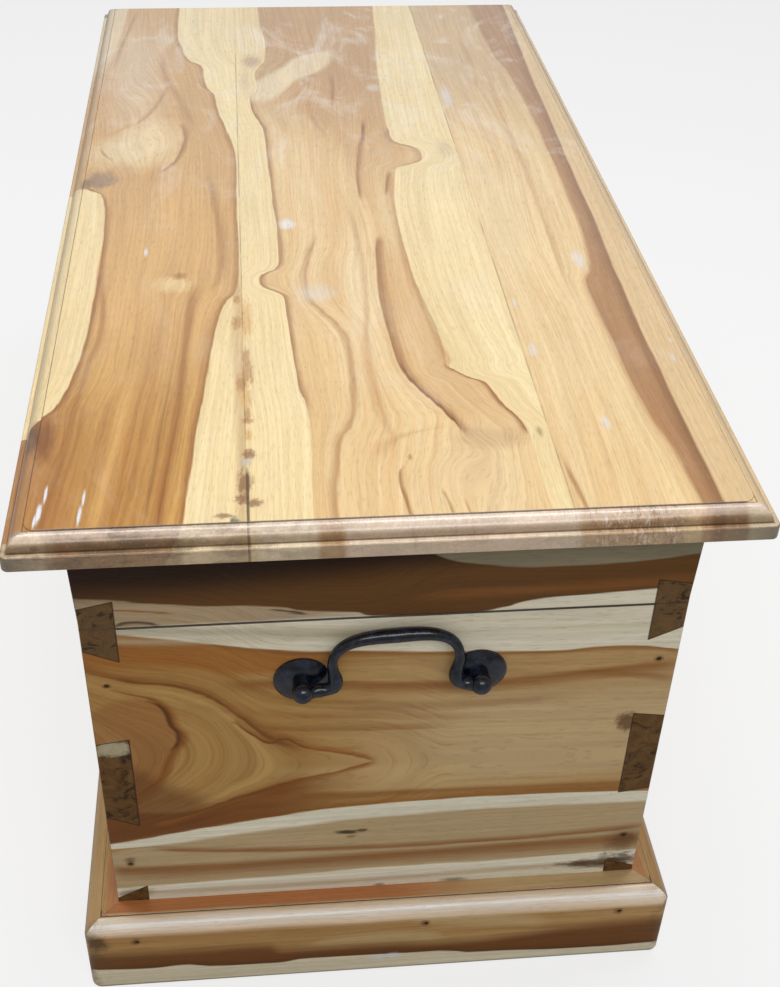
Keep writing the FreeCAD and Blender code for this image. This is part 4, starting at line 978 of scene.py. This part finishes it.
middle_plank.streak(CHESTNUT, ((-30, -13), (13, -14), (63, -18.5), (113, -26), (140, -29)), 6, 2, share=0.75, soft=12)
middle_plank.streak(UMBER, ((90, -24), (110, -27), (130, -29)), 3.5, 2.5, share=0.5, soft=8)
middle_plank.streak(CHESTNUT, ((-24, -38), (0, -41), (20, -44)), 4, 3, share=0.75, soft=8)
middle_plank.streak(CHESTNUT, ((180, 0), (210, -4), (262, -6)), 5, 4, share=0.6, soft=14)
middle_plank.streak(srgb(184, 130, 76), ((110, 10), (200, 22), (262, 4)), 4, 6, share=0.5, soft=20)
middle_plank.streak(CHESTNUT, ((-500, -10), (-470, -7), (-450, -5.5), (-436, -9)), 3.5, 1.2, share=0.75, soft=6)
middle_plank.streak(CHESTNUT, ((-500, -38), (-482, -36), (-462, -33)), 2.4, 1.4, share=0.7, soft=5)
middle_plank.streak(CHESTNUT, ((-500, -50), (-486, -48), (-472, -46)), 2.0, 1.2, share=0.55, soft=5)
middle_plank.streak(srgb(196, 146, 92), ((-420, 4), (-400, -12), (-392, -40)), 8, 14, share=0.4, soft=10)
middle_plank.spot(srgb(206, 172, 128), (-405, -72), (12, 24), soft=0.6, share=0.7)
middle_plank.spot(srgb(234, 206, 160), (-446, -58), (38, 26), soft=0.7, share=0.5)
middle_plank.area(middle_plank.sap, above=BORDER, feather=1.0)
middle_plank.streak(CHESTNUT, BORDER, 6, 0.8, start=-360, end=210, share=0.75, soft=20)
middle_plank.area(srgb(240, 220, 182), below=((190, 80), (238, 76), (266, 62), (290, 46), (318, 28), (332, 8), (338, -8)),
                  above=((190, 62), (228, 44), (254, 30), (275, 8), (300, -6), (338, -12)), start=196, end=338, feather=6,
                  soft=12, share=0.8)
middle_plank.spot(srgb(186, 156, 128), (308, 78), (17, 10), soft=0.6, share=0.75)
middle_plank.spot(srgb(220, 196, 158), (248, 84), (34, 5), soft=0.6, share=0.6)
middle_plank.area(middle_plank.sap, below=LOW_BORDER, feather=1.0)
middle_plank.streak(srgb(150, 92, 42), ((-400, -99), (-384, -96), (-364, -87), (-336, -78), (-330, -69), (-313, -54)), 0.8,
                    5, share=0.9, soft=6)
middle_plank.streak(CHESTNUT, ((-313, -54), (-287, -54), (-137, -43), (-37, -44), (13, -49)), 0.8, 8, share=0.4, soft=16)
middle_plank.streak(CHESTNUT, ((30, -53), (37, -66), (46, -77), (58, -79), (72, -76), (86, -60), (95, -54), (120, -53)), 1.0,
                    10, share=0.6, soft=8)
middle_plank.spot(srgb(214, 182, 140), (64, -42), (12, 10), soft=0.6, share=0.6)
middle_plank.spot(srgb(196, 172, 142), (72, -104), (20, 7), soft=0.7, share=0.5)
# a painted glint
middle_plank.spot(GLINT_AND_SCUFF, (-80, 54), (8, 6), soft=0.6, share=0.75)
middle_plank.spot(srgb(226, 220, 210), (-200, 36), (12, 14), soft=0.7, share=0.5)
middle_plank.spot(srgb(224, 216, 204), (228, -48), (9, 6), soft=0.7, share=0.6)
for at, size in (((-424, -15), (3, 1.4)), ((-489, 21), (3, 2)), ((-400, -108), (5, 2))):
    middle_plank.spot(srgb(112, 92, 68), at, size, soft=0.7, share=0.5)
seam_stain(middle_plank)
lid_wear(middle_plank)
seam_dirt(middle_plank, SEAM_BACK)
seam_dirt(middle_plank, SEAM_FRONT)

front_plank = lid_plank("lid_front_teak", 0.79, -190, cup=0.2)
BAND_TOP = ((-500, -199), (-437, -197), (-387, -190), (-337, -187), (-287, -185.5), (-212, -184.5), (-177, -193), (-137, -198),
            (13, -203), (163, -203), (263, -199), (330, -190), (500, -186))
BAND_FOOT = ((-500, -216), (-387, -212.5), (-187, -214.5), (13, -218), (163, -221.5), (300, -224), (463, -230), (500, -231))
front_plank.follow((-290, ((-500, -300), (500, -300))), (-216, BAND_FOOT), (-194, BAND_TOP),
                   (-160, ((-500, -158), (-300, -166), (-100, -158), (100, -168), (300, -160), (500, -168))),
                   (-70, ((-500, -70), (500, -70))))
front_plank.grow(srgb(246, 218, 166), srgb(232, 194, 138), srgb(186, 134, 76), 0.06, flecks=0.15)
front_plank.area(srgb(190, 150, 104), above=((-500, -290), (500, -290)), start=150, soft=200, feather=2, share=0.4)
front_plank.area(srgb(204, 172, 132), above=((60, -240), (500, -240)), start=190, feather=14, soft=130, share=0.55)
front_plank.spot(srgb(242, 218, 168), (-90, -136), (110, 16), soft=0.6, share=0.6)
front_plank.spot(srgb(240, 214, 164), (-300, -142), (80, 14), soft=0.7, share=0.4)
front_plank.streak(srgb(196, 146, 90), ((-200, -170), (-60, -172), (100, -172), (260, -176)), 7, 5, share=0.45, soft=50)
front_plank.streak(srgb(190, 138, 84), ((230, -158), (290, -162), (360, -160)), 5, 4, share=0.5, soft=20)
front_plank.streak(CHESTNUT, ((-500, -124), (-470, -121), (-440, -118)), 3, 2.4, share=0.65, soft=14)
front_plank.area(srgb(170, 120, 76), below=BAND_TOP, feather=3.0, share=0.9)
front_plank.streak(srgb(120, 76, 44), BAND_FOOT, 0.8, 11, share=0.55)
front_plank.area(srgb(226, 194, 146), below=BAND_FOOT, feather=1.2)
for at, size in (((-312, -227), (6, 1.2)), ((-287, -231), (3, 1)), ((-392, -157), (7, 2.4)), ((-295, -122), (8, 3)),
                 ((-225, -120), (6, 1.6)), ((-157, -188), (14, 5)), ((200, -123), (26, 5))):
    front_plank.spot(srgb(228, 226, 228), at, size, soft=0.7, share=0.6)
lid_wear(front_plank)
seam_dirt(front_plank, SEAM_FRONT)

for name, plank in (("back", back_plank), ("middle", middle_plank), ("front", front_plank)):
    dress(f"lid_plank_{name}", plank.varnish(end_share=0.0, roughness=0.36, coat=0.6, coat_roughness=0.20,
                                             specular=0.3, coat_more=plank.moulding))


# ---------------------------------------------------------------- nails, screws, nuts
# Steel lost-head nails punched under the face and dark with age, zinc-plated screws and nuts.
def metal(name, base, worn, metallic, roughness, spread, scale=120.0, relief_size=0.0002, specular=0.5):
    material = bpy.data.materials.new(name)
    material.use_nodes = True
    tree = material.node_tree
    tree.nodes.clear()
    where = tree.nodes.new("ShaderNodeTexCoord").outputs["Object"]
    wear = noise(tree, where, scale, 4.0, 0.6)
    shader = tree.nodes.new("ShaderNodeBsdfPrincipled")
    out = tree.nodes.new("ShaderNodeOutputMaterial")
    relief = tree.nodes.new("ShaderNodeBump")
    relief.inputs["Strength"].default_value = 0.4
    relief.inputs["Distance"].default_value = relief_size
    feed(tree, relief.inputs["Height"], calc(tree, "MULTIPLY_ADD", noise(tree, where, scale * 9), 0.35, wear))
    feed(tree, shader.inputs["Base Color"], blend_colour(tree, ramp(tree, wear, 0.42, 0.75), base, worn))
    feed(tree, shader.inputs["Roughness"], ramp(tree, wear, 0.3, 0.8, roughness, roughness + spread))
    feed(tree, shader.inputs["Normal"], relief.outputs[0])
    shader.inputs["Metallic"].default_value = metallic
    shader.inputs["Specular IOR Level"].default_value = specular
    feed(tree, out.inputs["Surface"], shader.outputs[0])
    return material


nail_steel = metal("nail_steel", srgb(52, 38, 28), srgb(84, 64, 48), 0.3, 0.5, 0.2, scale=400.0)
plated_steel = metal("plated_steel", srgb(150, 150, 148), srgb(190, 190, 186), 1.0, 0.28, 0.2)
for name in ("corner_nails", "plinth_nails", "bottom_nails"):
    dress(name, nail_steel)
for name in ("cleat_screws", "lid_batten_screws", "handle_nuts", "handle_washers"):
    dress(name, plated_steel)


# ---------------------------------------------------------------- butt hinges
# A pair of plain brass butts let into the back wall and the lid's back rail, dull with age.
hinge_brass = metal("hinge_brass", srgb(150, 116, 58), srgb(192, 158, 92), 1.0, 0.34, 0.25)
for name in node:
    if name.startswith("hinge_"):
        dress(name, hinge_brass)


# ---------------------------------------------------------------- bail handles
# Black iron: a domed rose and a ball post at each side, bolted through the panel, and a forged
# bail that swings in the posts. Hands have polished the grip and the balls a little.
handle_iron = metal("handle_iron", srgb(14, 16, 24), srgb(42, 50, 72), 0.0, 0.14, 0.14, scale=160.0, relief_size=0.0003,
                    specular=0.55)
for name in node:
    if name.startswith(("rose_", "post_", "bail_")):
        dress(name, handle_iron)
